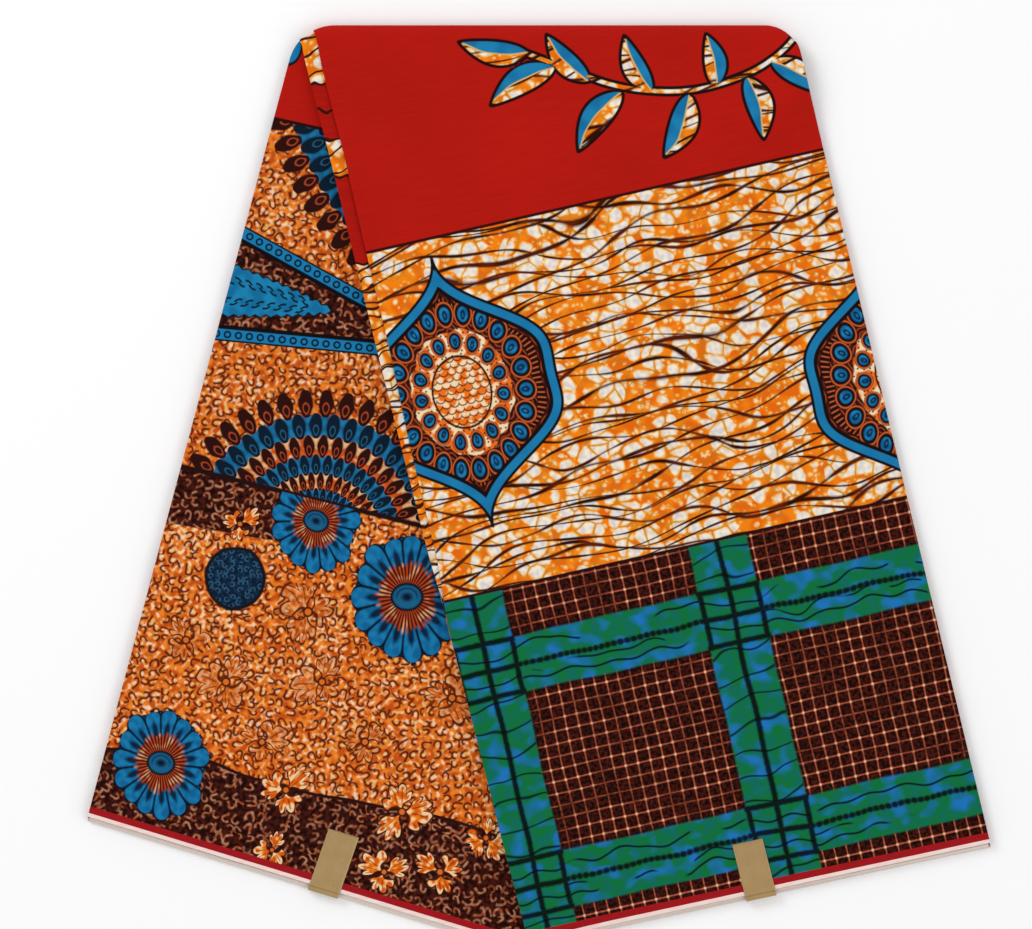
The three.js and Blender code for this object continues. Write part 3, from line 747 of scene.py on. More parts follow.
def mat_medallion():
    g = Graph("front_medallion")
    a, b = g.uv("Print")
    d, rho = g.uv("Motif")                  # distance to the outline (minus inside), and the share of the way out to it
    turns, px = g.uv("Polar", 1)            # share of the way round
    rho = rho / 1000.0
    out = crackle(g, a, b, 1.0, 0.0)
    out = g.mix(inside(b - RED_B - 1.5), out, rgb(52, 8, 8))
    dep = -d
    around, reach = 676.0, 107.0            # dots once round at a share of 1, and from the middle to it
    # ground: brown, with thin orange lines that echo the rows, and short rays under the outline
    wave = sin_(turns * (6.28319 * 24)) * 1.6
    echo = abs_(frac_((dep + wave) / 4.7) - 0.5) * 4.7
    ground = g.mix(step_up(g.noise(a, b, 12, seed=3), 0.3, 0.7), rgb(38, 9, 6), rgb(70, 20, 11))
    ground = g.mix(inside(echo - 0.5, 0.6) * 0.85, ground, rgb(184, 78, 40))
    ray = inside(abs_(frac_(turns * 120.0) - 0.5) * (around / 120.0) - 0.75, 0.6) * inside(abs_(dep - 20.0) - 4.2, 0.7)
    ground = g.mix(inside(abs_(dep - 20.0) - 5.4, 0.6), ground, rgb(34, 8, 6))
    ground = g.mix(ray, ground, rgb(190, 92, 52))

    def eyes(col, at, count, radius, shift):
        """A row of blue eyes, each in an orange scallop."""
        ex, ey = (frac_(turns * float(count) + shift) - 0.5) * (around * at / count), (rho - at) * reach
        e = hyp(ex, ey * 0.84)
        col = g.mix(inside(e - radius * 1.75, 0.6), col, rgb(36, 9, 7))
        col = g.mix(inside(abs_(e - radius * 1.52) - 0.6, 0.6), col, rgb(208, 96, 44))
        col = g.mix(inside(e - radius * 1.2, 0.6), col, rgb(8, 16, 28))
        col = g.mix(inside(e - radius * 0.93, 0.6), col, g.mix(step_up(g.noise(a, b, 8, seed=4), 0.35, 0.65), rgb(16, 92, 142), rgb(28, 122, 172)))
        drop = hyp(ex, ey * 0.55 + 0.4) - radius * 0.30
        return g.mix(inside(abs_(drop) - 0.75, 0.6), col, rgb(6, 28, 56))
    ground = eyes(ground, 0.665, 22, 6.2, 0.0)
    # cream and orange clouds with dark dots, behind the inner row
    cloud = g.mix(step_up(g.noise(a, b, 10, seed=7), 0.44, 0.58), rgb(228, 108, 30), rgb(240, 212, 170))
    ad, ax_, ay_, ar = g.cells(a, b, 5.4, 0.5, 3.0)
    cloud = g.mix(inside(hyp(ax_, ay_) - 0.95, 0.5), cloud, rgb(60, 16, 8))
    edge = (g.noise(a, b, 14, seed=8) - 0.5) * 0.07
    ground = g.mix(inside((rho - 0.525 + edge) * reach, 0.7), ground, cloud)
    ground = eyes(ground, 0.43, 15, 4.8, 0.5)
    # the heart: rows of orange and cream scales
    row = b / 6.4
    step = mod_(floor_(row), 2.0) * 0.5
    sx, sy = frac_(a / 8.4 + step) - 0.5, frac_(row)
    arc = abs_(hyp(sx * 8.4, sy * 6.4) - 4.6)
    heart = g.mix(step_up(g.noise(a, b, 8), 0.42, 0.6), rgb(232, 112, 24), rgb(242, 212, 168))
    heart = g.mix(inside(arc - 0.65, 0.6), heart, rgb(98, 28, 10))
    ground = g.mix(inside((rho - 0.315) * reach, 0.6), ground, rgb(36, 9, 7))
    ground = g.mix(inside((rho - 0.295) * reach, 0.6), ground, heart)
    # the outline: blue between dark edges
    col = g.mix(inside(d - 1.6), out, rgb(20, 12, 18))
    col = g.mix(inside(d + 1.2), col, g.mix(g.noise(a, b, 18), rgb(20, 108, 158), rgb(28, 124, 172)))
    col = g.mix(inside(d + 9.0), col, rgb(22, 10, 12))
    col = g.mix(inside(d + 12.6), col, ground)
    return g.finish(col, thread=(a, b))


def mat_plaid():
    g = Graph("front_plaid")
    a, b = g.uv("Print")
    wa = (g.noise(a, b, 60, seed=1) - 0.5) * 3.0
    wb = (g.noise(a, b, 60, seed=2) - 0.5) * 3.0
    va = mod_(a + wa + 105.25, 251.0) - 125.5
    vb = mod_(b + wb - 77.5 + 110.0, 220.0) - 110.0
    up, across = inside(abs_(va) - 30.3, 1.2), inside(abs_(vb) - 28.5, 1.2)
    # windows
    ga, gb = mod_(a + wa + 8.0, 12.3) - 6.15, mod_(b + wb * 0.5 + 3.0, 12.3) - 6.15
    gl = either(inside(abs_(ga) - 0.62, 0.5), inside(abs_(gb) - 0.62, 0.5))
    cross = both(inside(abs_(ga) - 1.1, 0.7), inside(abs_(gb) - 1.1, 0.7))
    tone = g.noise(a, b, 15, seed=5)
    grain = g.noise(a, b, 3.4, seed=15)
    fade = g.noise(a, b, 30, seed=16)
    ground = g.mix(step_up(grain, 0.3, 0.7), rgb(20, 4, 2), g.mix(tone, rgb(48, 12, 7), rgb(76, 24, 16)))
    win = g.mix(gl * (grain * 0.5 + step_up(fade, 0.25, 0.65) * 0.5 + 0.18), ground, rgb(182, 88, 58))
    win = g.mix(cross * step_up(fade + grain * 0.3, 0.50, 0.80), win, rgb(236, 194, 156))
    # bands, mottled along their own run
    m = g.noise(a, b, 21, 15, detail=0.6, seed=6)
    band = g.mix(step_up(m, 0.50, 0.74), rgb(14, 110, 58), rgb(30, 112, 184))
    band = g.mix(step_up(g.noise(a, b, 11, seed=8), 0.35, 0.75) * 0.55, band, rgb(16, 100, 104))
    # thin dark lines that wander along the bands that run across, and stop and start
    w1 = g.noise(a, b, 34, 300, seed=9)
    w2 = g.noise(a, b, 40, 300, seed=10)
    here = g.noise(a, b, 34, 300, seed=17)
    l1 = abs_(vb - 16.0 + (w1 - 0.5) * 20)
    l2 = abs_(vb + 15.0 + (w2 - 0.5) * 22)
    l3 = abs_(vb - 6.0 + (w1 - 0.5) * 22 - (w2 - 0.5) * 10)
    t1 = inside(l1 - 1.05, 0.65) * step_up(here, 0.34, 0.42)
    t2 = inside(l2 - 1.05, 0.65) * step_up(here, 0.64, 0.56)
    t3 = inside(l3 - 0.95, 0.65) * step_up(here, 0.50, 0.56)
    thin = either(either(t1, t2), t3) * across * (1.0 - up)
    # short rungs over the bands that run down
    rung = abs_(frac_((b + (g.noise(a, b, 36, 34, seed=11) - 0.5) * 17 + va * 0.06) / 25.0) - 0.5) * 25.0
    thin = either(thin, inside(rung - 1.0, 0.65) * up * (1.0 - across) * 0.95)
    thin = either(thin, inside(abs_(abs_(vb + (w2 - 0.5) * 22) - 13.0) - 1.0, 0.65) * up * across)
    band = g.mix(thin, band, rgb(4, 22, 26))
    # the dark lines: middle of each band, and its edges where two bands cross
    bead = 1.0 - step_up(sin_((a + wa * 3) / 1.02), -0.72, -0.1)
    uneven = (grain - 0.5) * 0.8
    mid_across = inside(abs_(vb + (w1 - 0.5) * 4.0) - 2.9 + uneven + bead * 0.7 * (1.0 - up), 1.1) * across * (1.0 - bead * 0.12 * (1.0 - up))
    mid_up = inside(abs_(va + wb * 0.5) - 2.8 + uneven, 1.1) * up
    x_edge = inside(abs_(va) - 32.5, 1.1) * inside(abs_(abs_(vb) - 27.5 + wa * 0.3) - 2.8 + uneven, 1.1)
    y_edge = inside(abs_(vb) - 30.5, 1.1) * inside(abs_(abs_(va) - 28.8 + wb * 0.3) - 2.8 + uneven, 1.1)
    dark = either(either(mid_across, mid_up), either(x_edge, y_edge))
    out_edge = either(line(abs_(vb) - 29.6, 0.8, 1.4) * (1.0 - up), line(abs_(va) - 31.4, 0.8, 1.4) * (1.0 - across))
    col = g.mix(either(up, across), win, band)
    col = g.mix(either(dark * 0.96, out_edge * 0.7), col, rgb(6, 9, 12))
    # the last dark strip along the hem, with one thin line
    strip = inside(326.5 - b)
    last = g.mix(either(inside(abs_(ga) - 0.55), inside(abs_(b - 337.0) - 0.7)) * (grain * 0.6 + 0.5), ground, rgb(192, 96, 66))
    last = g.mix(both(inside(abs_(ga) - 1.1, 0.7), inside(abs_(b - 337.0) - 1.1, 0.7)), last, rgb(236, 194, 156))
    col = g.mix(strip * (1.0 - up), col, last)
    col = g.mix(inside(b - 1.4), col, rgb(40, 10, 10))
    return g.finish(col, thread=(a, b))


def mat_stripe():
    g = Graph("hem_stripe")
    a, b = g.uv("Print")
    k = g.noise(a, b, 9, 3, seed=2) * 0.2 + 0.9
    col = g.scale_colour(rgb(156, 22, 28), k)
    return g.finish(col, thread=(a, b))


def mat_selvage():
    g = Graph("selvage")
    a, b = g.uv("Print")
    n = g.noise(a, b, 14, 2.0, seed=5)
    col = g.mix(step_up(n, 0.3, 0.7), rgb(242, 206, 200), rgb(236, 222, 214))
    return g.finish(col, thread=(a, b))


def mat_strip():
    """The second fold: what shows of it beside the flap."""
    g = Graph("second_fold_print")
    x, y = g.uv("Print")
    n = (g.noise(x, y, 12) - 0.5) * 8
    yy = y + n
    col = crackle(g, x * 1.0, y * 0.9, 0.0, 4.0)
    bars = inside(abs_(frac_((yy + x * 0.4) / 13.5) - 0.5) * 13.5 - 1.1, 0.6) * more(y, 270.0)
    few = inside(abs_(frac_((yy + x * 0.5) / 22.0) - 0.5) * 22.0 - 1.3)
    col = g.mix(either(bars, few), col, rgb(60, 18, 10))
    red = both(less(yy, 139.0), more(yy, 84.0))
    red = either(red, both(more(yy, 177.0), less(yy, 264.0)))
    col = g.mix(red, col, g.scale_colour(RED, g.noise(x, y, 30, 4) * 0.2 + 0.78))
    for at in (38.0, 84.0, 111.0, 139.0, 177.0, 264.0):
        col = g.mix(line(yy - at, 1.4), col, rgb(48, 14, 10))
    # painted shade: the strip darkens to near-black lower down, where it runs in under the flap's edge
    col = g.mix(step_up(y, 588.0, 608.0), col, rgb(26, 22, 28))
    return g.finish(col, thread=(x, y))


# ---- back leg --------------------------------------------------------------------------------------------------------------
FAN = dict(cx=316.0, cy=541.0, radius=149.0, count=42, first_width=24.2, narrowing=0.95, rings=6)
FAN_TOP = dict(cx=566.0, cy=46.0, radius=306.0, count=84, first_width=24.0, narrowing=0.3, rings=5, all_blue=True)


def mat_back_red():
    g = Graph("back_red")
    x, y = g.uv("Print")
    col = red_ground(g, x, y)
    # a corner of a blue motif by the fold
    e = hyp((x - 288.0) / 15.0, (y - 44.0) / 22.0)
    col = g.mix(inside(e - 1.0, 0.04), col, rgb(22, 12, 16))
    col = g.mix(inside(e - 0.86, 0.04), col, BLUE)
    edge = y - ((x - 277.0) * 0.222 + 119.0)
    col = g.mix(inside(-edge - 1.6), col, rgb(40, 8, 8))
    return g.finish(col, thread=(x, y))


def mat_back_orange(name, fan=None, line_top=None, line_bottom=None):
    g = Graph(name)
    x, y = g.uv("Print")
    col, stroke = vermicelli(g, x, y)
    col = g.mix(0.07, col, rgb(96, 34, 10))
    if fan:
        col, on = fan_rings(g, x, y, col, **fan)
    return g, x, y, col


def mat_top_hooks():
    g, x, y, col = mat_back_orange("back_top", FAN_TOP)
    edge = y - ((x - 277.0) * 0.222 + 119.0)
    col = g.mix(inside(edge - 1.6), col, rgb(40, 8, 8))
    col, s, d = chain(g, x, y, col, 245.0, 234.0, 0.553, True)
    return g.finish(col, thread=(x, y))


def mat_wedge():
    g = Graph("back_wedge")
    x, y = g.uv("Print")
    col, stroke = vermicelli(g, x, y, dark=1, seed=2.0)
    # the blue fern: a long wedge with a serrated rim and two rows of commas
    c, s = math.cos(0.2), math.sin(0.2)
    p = (x - 228.0) * c + (y - 290.0) * s
    q = (y - 290.0) * c - (x - 228.0) * s
    half = (1.0 - p / 109.0)
    half = pow_(max_(half, 0.0), 0.72) * 27.0
    rim = abs_(frac_(p / 10.5) - 0.5) * 6.0
    d = abs_(q) + rim - half
    on = less(p, 109.0)
    blue = g.mix(step_up(g.noise(x, y, 12), 0.35, 0.65), rgb(18, 104, 150), rgb(26, 124, 170))
    aq = abs_(q)
    u, v = (frac_((p + aq * 0.55) / 10.5) - 0.5) * 10.5, aq - half * 0.40
    side = less(v, 0.0)
    ring = hyp(u + 2.2 - side * 4.4, v) - 3.4
    hook = inside(abs_(ring) - 1.2) * inside(abs_(v) - 4.2) * inside(abs_(u) - 3.8) * more(half, 9.0)
    blue = g.mix(hook, blue, rgb(10, 26, 40))
    col = g.mix(inside(d - 1.5) * on, col, rgb(18, 12, 14))
    col = g.mix(inside(d) * on, col, blue)
    col, s1, d1 = chain(g, x, y, col, 245.0, 234.0, 0.553, True)
    col, s2, d2 = chain(g, x, y, col, 222.0, 334.0, 0.095, False)
    return g.finish(col, thread=(x, y))


def mat_fan():
    g, x, y, col = mat_back_orange("back_fan", FAN)
    col, s2, d2 = chain(g, x, y, col, 222.0, 334.0, 0.095, False)
    edge = y - ((x - 183.0) * 0.248 + 467.0)
    col = g.mix(inside(-edge - 2.8, 0.9), col, rgb(34, 12, 12))
    return g.finish(col, thread=(x, y))


def night_mask(g, x, y):
    """1 where the hooks are light on brown: the band at the left under the long line, and below the wavy line by the hem."""
    wave = (g.noise(x, y, 60, seed=9) - 0.5) * 10
    top = both(inside(y - (x * 0.12 + 506.0) + wave, 0.8), inside(x - 300.0, 0.8))
    low = max_(x - 212.0, 0.0) * 0.27 + min_(x - 212.0, 0.0) * 0.1 + 762.0
    low = low + 5.0 * sin_((x - 212.0) / 47.7) + wave * 0.5
    bottom = inside(low - y, 0.8)
    rim = inside(abs_(low - y) - 1.6)
    return either(top, bottom), rim


def mat_field(name="back_field", motif=None):
    g = Graph(name)
    x, y = g.uv("Print")
    dark, rim = night_mask(g, x, y)
    cool = None
    if motif == "blob":
        u, v = g.uv("Motif", 1)
        e = hyp(u, v * (0.96 - v * 0.05)) + (g.noise(x, y, 24) - 0.5) * 0.08
        cool = inside(e - 1.0, 0.03)
    col, stroke = vermicelli(g, x, y, dark=dark, cool=cool)
    if motif == "blob":
        col = g.mix(inside(abs_(e - 1.0) - 0.06, 0.02), col, rgb(20, 20, 28))
    else:
        col = g.mix(rim, col, rgb(40, 14, 10))
    edge = y - ((x - 183.0) * 0.248 + 467.0)
    col = g.mix(inside(edge - 2.4, 0.9), col, rgb(34, 12, 12))
    if motif == "daisy":
        u, v = g.uv("Motif", 1)
        col = daisy(g, u, v, col)
    if motif in ("leaf", "faint"):
        u, v = g.uv("Motif", 1)
        number = floor_(u / 10.0 + 0.5)
        col = leaf_flower(g, x, y, u - number * 10.0, v, number, col, motif == "faint")
    return g.finish(col, thread=(x, y))


# ---- hidden layers and labels -----------------------------------------------------------------------------------------------
def mat_side():
    """Fold edges of the hidden layers: each has the colours of the print where it was folded, and painted shade where
    one fold meets the next.
    """
    g = Graph("fold_edges")
    x, w = g.uv("Print", 1)                 # along the edge in dots/1000, and the fold's number
    x = x * 1000.0
    k = floor_(w)
    n1 = g.noise(x + k * 137.0, k * 50.0, 22, 50)
    n2 = g.noise(x + k * 71.0, k * 31.0, 60, 50, seed=3)
    col = g.mix(step_up(n1, 0.42, 0.5), rgb(150, 26, 14), ORANGE)
    col = g.mix(step_up(n1, 0.55, 0.6), col, CREAM)
    col = g.mix(step_up(n2, 0.52, 0.56), col, BROWN)
    col = g.mix(step_up(n2, 0.66, 0.70), col, BLUE)
    # painted shade: the colour darkens to a near-black red at the gap between one fold and the next
    shade_between_layers = abs_(frac_(w) - 0.5)
    col = g.mix(step_up(shade_between_layers, 0.36, 0.5) * 0.6, col, rgb(30, 10, 8))
    return g.finish(col, thread=(x, w * 8.0))


def mat_hem_edges():
    g = Graph("hem_edges")
    x, w = g.uv("Print", 1)
    x = x * 1000.0
    n = g.noise(x, w * 40.0, 16, 3.0)
    col = g.mix(n, rgb(230, 218, 206), rgb(244, 236, 226))
    own = frac_(sin_(floor_(w) * 12.9898) * 43.758)
    col = g.mix(step_up(own, 0.45, 0.95) * 0.4, col, rgb(228, 192, 184))
    # painted shade: the pale hem edges turn grey-brown where one layer's hem meets the next
    shade_between_layers = abs_(frac_(w) - 0.5)
    col = g.mix(step_up(shade_between_layers, 0.30, 0.5) * 0.45, col, rgb(186, 160, 150))
    return g.finish(col, thread=(x, w * 8.0))


def mat_under():
    g = Graph("underside_print")
    x, y = g.uv("Print")
    col, stroke = vermicelli(g, x, y, seed=6.0)
    return g.finish(col, thread=(x, y))


def mat_label():
    g = Graph("label_paper")
    x, y = g.uv("Print", 1)                 # mm from the foot's middle
    x, y = x * 100.0, y * 100.0
    fibre = g.noise(x, y, 0.7, 2.6, detail=1.0)
    cloud = g.noise(x, y, 9, 9, seed=2)
    col = g.mix(fibre * 0.6 + cloud * 0.4, rgb(156, 127, 82), rgb(178, 148, 104))
    edge = max_(abs_(x) - 9.3, max_(y - 0.0, y * 0.0))
    col = g.mix(inside(9.45 - abs_(x), 0.25) * 0.5, col, rgb(196, 172, 126))
    col = g.mix(inside(abs_(y - 2.2) - 0.35, 0.3) * 0.55, col, rgb(112, 88, 50))
    return g.finish(col, rough=0.62, thread=(x, y), strength=0.12, sheen=0.0)


# ======================================================================================================================
# Motif fields: distance to a closed outline and the way round it, worked out for the corners of faces near it
# ======================================================================================================================
def contour(px, py, poly):
    """Signed distance (minus inside) and length along the outline of the nearest point, for points px, py."""
    P = np.asarray(poly, float)
    Q = np.roll(P, -1, 0)
    seg = Q - P
    L = np.hypot(seg[:, 0], seg[:, 1])
    start = np.concatenate([[0], np.cumsum(L)[:-1]])
    best = np.full(px.shape, 1e9)
    along = np.zeros(px.shape)
    odd = np.zeros(px.shape, bool)
    for k in range(len(P)):
        dx, dy = px - P[k, 0], py - P[k, 1]
        t = np.clip((dx * seg[k, 0] + dy * seg[k, 1]) / max(L[k] ** 2, 1e-9), 0, 1)
        d2 = (dx - t * seg[k, 0]) ** 2 + (dy - t * seg[k, 1]) ** 2
        near = d2 < best
        best = np.where(near, d2, best)
        along = np.where(near, start[k] + t * L[k], along)
        cross = (P[k, 1] > py) != (Q[k, 1] > py)
        if abs(seg[k, 1]) > 1e-12:
            xi = P[k, 0] + (py - P[k, 1]) / seg[k, 1] * seg[k, 0]
            odd ^= cross & (px < xi)
    d = np.sqrt(best)
    return np.where(odd, -d, d), along, L.sum()


MEDALLION_TURN = -0.225                     # with the weave of the front leg
MEDALLIONS = [(462, 392, 96, 138), (905, 372, 96, 138)]


def ogee(half_w, half_h, n=240):
    """A medallion's outline about its own middle: pointed at top and bottom, with full sides that curve in to the tips."""
    t = np.linspace(-1, 1, n // 2 + 1)
    w = half_w * 0.5 * (1 + np.cos(np.pi * t)) * (1 + 0.16 * (1 - np.cos(2 * np.pi * t)))
    right = np.stack([w, t * half_h], -1)
    left = np.stack([-w, t * half_h], -1)[::-1][1:-1]
    return np.concatenate([right, left])


def medallion_place(px, py, cx, cy, half_w, half_h):
    """The outline in dots, and for points px, py the place on ellipses inside it: share of the way out, and round."""
    c, s = math.cos(MEDALLION_TURN), math.sin(MEDALLION_TURN)
    own = ogee(half_w, half_h)
    poly = np.stack([cx + own[:, 0] * c - own[:, 1] * s, cy + own[:, 0] * s + own[:, 1] * c], -1)
    dx, dy = px - cx, py - cy
    lx, ly = dx * c + dy * s, dy * c - dx * s
    ex, ey = lx / half_w, ly / (0.86 * half_h)
    return poly, np.hypot(ex, ey), np.arctan2(ey, ex) / (2 * np.pi) + 0.5


def leaf(x0, y0, x1, y1, width, bend=0.0, n=40):
    """A leaf from its foot to its tip: its outline, and a function for the distance from its middle line."""
    t = np.linspace(0, 1, n)
    foot, d = np.array([x0, y0], float), np.array([x1 - x0, y1 - y0], float)
    L = np.hypot(*d)
    d /= L
    nrm = np.array([d[1], -d[0]])
    mid = foot + d * (t * L)[:, None] + nrm * (bend * np.sin(np.pi * t))[:, None]
    w = width / 2 * np.sin(np.pi * t ** 0.82) ** 0.8

    def side(px, py):
        along = np.clip(((px - x0) * d[0] + (py - y0) * d[1]) / L, 0, 1)
        return (px - x0) * nrm[0] + (py - y0) * nrm[1] - bend * np.sin(np.pi * along)
    return np.concatenate([mid + nrm * w[:, None], (mid - nrm * w[:, None])[::-1]]), side


def stem(points, half):
    P = np.array(points, float)
    t = np.linspace(0, len(P) - 1, 60)
    line_ = np.stack([np.interp(t, np.arange(len(P)), P[:, k]) for k in (0, 1)], -1)
    k = np.ones(9) / 9
    pad = np.pad(line_, ((4, 4), (0, 0)), "edge")
    line_ = np.stack([np.convolve(pad[:, c], k, "valid") for c in (0, 1)], -1)
    d = unit(np.gradient(line_, axis=0))
    n = np.stack([d[:, 1], -d[:, 0]], -1) * half
    return np.concatenate([line_ + n, (line_ - n)[::-1]]), lambda px, py: np.full(px.shape, 6.0)


SPRAY = [
    leaf(530, 54, 458, 42, 26, 5), leaf(556, 66, 490, 106, 29, -6), leaf(590, 82, 546, 34, 25, 5), leaf(622, 91, 578, 152, 30, -6),
    leaf(652, 93, 624, 35, 25, 5), leaf(690, 93, 664, 158, 30, 6), leaf(716, 88, 706, 33, 24, -4), leaf(746, 76, 764, 140, 28, 6),
    leaf(770, 60, 826, 94, 26, 4),
    stem([(520, 51), (560, 66), (620, 89), (690, 93), (752, 74), (790, 46), (806, 16)], 3.6),
]

# (kind, x, y, radius, turn)
BACK_MOTIFS = [
    ("daisy", 316, 521, 46, 0.2), ("daisy", 407, 597, 58, 0.0), ("daisy", 161, 763, 50, 0.1),
    ("blob", 235, 577, 29, 0.0),
    ("leaf", 286, 790, 30, 0.3), ("leaf", 402, 812, 33, 1.2), ("leaf", 272, 850, 21, 2.0), ("leaf", 384, 872, 27, 0.7),
    ("leaf", 440, 872, 32, 2.6), ("leaf", 486, 838, 27, 1.7), ("leaf", 240, 524, 24, 0.5),
    ("faint", 308, 612, 38, 0.9), ("faint", 322, 682, 32, 1.9), ("faint", 226, 682, 35, 0.1), ("faint", 452, 698, 36, 2.3),
    ("faint", 186, 640, 32, 1.1), ("faint", 365, 742, 33, 0.4), ("faint", 262, 742, 30, 2.7),
]

# ======================================================================================================================
# front_flap: outer layer of the front leg, from the hem over the fold
# ======================================================================================================================
M_UNDER = mat_under()
M_STRIPE, M_SELVAGE = mat_stripe(), mat_selvage()

T_LEFT = float(np.interp(-144.2, bend_column(np.linspace(0, 0.2, 400))[3][:, 0], np.linspace(0, 0.2, 400)))


def flap_plan(u, s):
    """The flap's own width share u, from its left edge, and share s down to the outermost hem."""
    t = T_LEFT + (1 - T_LEFT) * u
    t, s = np.broadcast_arrays(t, s)
    start = bend_column(t)[3]
    left_hem = np.array([-4.6, -294.9])
    hem = left_hem + (FRONT_R - left_hem) * np.broadcast_to(u, t.shape)[..., None]
    p = start + (hem - start) * s[..., None]
    first = bend_column(T_LEFT)[3]
    w = smooth01(1 - np.broadcast_to(u, t.shape) / 0.16)[..., None]
    edge = front_left(s, "flap")
    fade_in = smooth01(s / 0.03)[..., None]
    p = p + w * fade_in * (edge - (first + (left_hem - first) * s[..., None]))
    w = (np.clip(1 - (1 - t) / 0.07, 0, 1) ** 2)[..., None]
    return p + w * (front_right(s) - (START_1 + (FRONT_R - START_1) * s[..., None]))


def distance_to_hem(p, a, b):
    d = unit(b - a)
    return (p[..., 0] - a[0]) * -d[1] + (p[..., 1] - a[1]) * d[0]


def build_front_flap():
    nu = 214
    u = np.linspace(0, 1, nu)
    u = u + 0.0
    samples = 900
    s = np.linspace(0, 1, samples)
    P = flap_plan(u[:, None], s[None, :])
    z = over(P) + STACK + GAP + WALL
    x, y = dots(P, z)
    a, b = turned(x, y)
    to_hem = distance_to_hem(P, FRONT_L, FRONT_R) / DOT      # dots above the outermost hem
    # one rising value per column that carries all the stops: b down to the plaid, then the distance to the hem
    s_red = np.array([np.interp(RED_B, b[c], s) for c in range(nu)])
    s_plaid = np.array([np.interp(0.0, b[c], s) for c in range(nu)])
    back = HEM_BACKOFF / DOT
    s_stripe = np.array([np.interp(-(back + 10.9), -to_hem[c], s) for c in range(nu)])
    s_selv = np.array([np.interp(-(back + 3.9), -to_hem[c], s) for c in range(nu)])
    s_end = np.array([np.interp(-back, -to_hem[c], s) for c in range(nu)])
    counts = [74, 160, 148, 6, 2]
    stops = np.stack([np.zeros(nu), s_red, s_plaid, s_stripe, s_selv, s_end], -1)
    rows = []
    for m, n in enumerate(counts):
        t = np.arange(n) / n
        rows.append(stops[:, m:m + 1] + (stops[:, m + 1:m + 2] - stops[:, m:m + 1]) * t[None, :])
    S = np.concatenate(rows + [stops[:, -1:]], 1)            # (nu, rows)
    zone = np.repeat([0, 1, 2, 3, 4], counts)
    P = flap_plan(u[:, None], S)
    z = over(P) + STACK + GAP + WALL
    x, y = dots(P, z)
    # lift along the left edge, and its soft shadow groove
    width = 305.0
    near = np.exp(-(u[:, None] * width / 7.0) ** 2)
    lift = 0.35 + 0.55 * np.exp(-((y - 215) / 60.0) ** 2) + 0.35 * np.exp(-((y - 640) / 90.0) ** 2)
    z = z + near * lift * smooth01(S / 0.05) + crease_height(x, y) * smooth01(S / 0.03)
    # the last millimetres of the hem droop to the layer below
    z = z - 0.35 * smooth01(1 - (S[:, -1:] - S) / 0.006)
    body = np.concatenate([P, z[..., None]], -1)
    # over the fold
    nb = 16
    ang = np.linspace(np.pi, 0, nb + 1)[:-1]
    t = T_LEFT + (1 - T_LEFT) * u
    bend = bend_point(t[:, None] + 0 * ang[None, :], ang[None, :] + 0 * t[:, None], 0.0, MID, MID)
    bend[..., 2] += 0.0
    arc = np.concatenate([np.zeros((nu, 1)), np.cumsum(np.linalg.norm(np.diff(np.concatenate([bend, body[:, :1]], 1), axis=1), axis=2), axis=1)], 1)
    n2 = bend_column(t)[1]
    flat = body[:, :1, :2] + n2[:, None, :] * (arc[:, -1:] - arc[:, :-1])[..., None]
    bx, by = dots(flat, np.full(flat.shape[:2], TOP))
    V = np.concatenate([bend, body], 1)
    X = np.concatenate([bx, x], 1)
    Y = np.concatenate([by, y], 1)
    nj = V.shape[1]
    zone = np.concatenate([np.zeros(nb, int), zone])
    down = np.concatenate([arc[:, :-1], arc[:, -1:] + np.concatenate([np.zeros((nu, 1)), np.cumsum(np.linalg.norm(np.diff(P, axis=1), axis=2), axis=1)], 1)], 1)
    across = np.broadcast_to(u[:, None] * width, down.shape)
    # folded side edges: round and back under
    def roll(col, nxt, sign):
        out = unit(V[col, :, :2] - V[nxt, :, :2])
        rings, dist = [], []
        for ph in (0.55, 1.15, 1.8, 2.5, math.pi):
            ring = V[col].copy()
            ring[:, :2] += out * (ROLL * math.sin(ph))
            ring[:, 2] -= ROLL * (1 - math.cos(ph))
            rings.append(ring)
            dist.append(ROLL * ph)
        ring = rings[-1].copy()
        ring[:, :2] -= out * 2.2
        rings.append(ring)
        dist.append(dist[-1] + 2.2)
        return rings, dist, out
    left, dl, ol = roll(0, 3, -1)
    right, dr, orr = roll(nu - 1, nu - 4, 1)
    Vall = np.stack(left[::-1] + [V[k] for k in range(nu)] + right, 0)
    def ext(A, o, d, sign):
        return A
    ox = lambda F, col, o, d: F[col] + (o[:, 0] if True else 0) * d / DOT
    oy = lambda F, col, o, d: F[col] - o[:, 1] * d / DOT
    Xall = np.stack([ox(X, 0, ol, d) for d in dl[::-1]] + [X[k] for k in range(nu)] + [ox(X, nu - 1, orr, d) for d in dr], 0)
    Yall = np.stack([oy(Y, 0, ol, d) for d in dl[::-1]] + [Y[k] for k in range(nu)] + [oy(Y, nu - 1, orr, d) for d in dr], 0)
    Ua = np.stack([across[0] - d for d in dl[::-1]] + [across[k] for k in range(nu)] + [across[-1] + d for d in dr], 0)
    Da = np.stack([down[0]] * len(dl) + [down[k] for k in range(nu)] + [down[-1]] * len(dr), 0)
    # nothing goes below the floor
    Vall[..., 2] = np.maximum(Vall[..., 2], 0.0)
    ni = Vall.shape[0]
    quads = grid_quads(ni, nj)
    A, B = turned(Xall, Yall)
    uv = np.stack([A.ravel(), B.ravel()], -1)[quads] / 1000.0
    cx, cy = Xall.ravel()[quads], Yall.ravel()[quads]
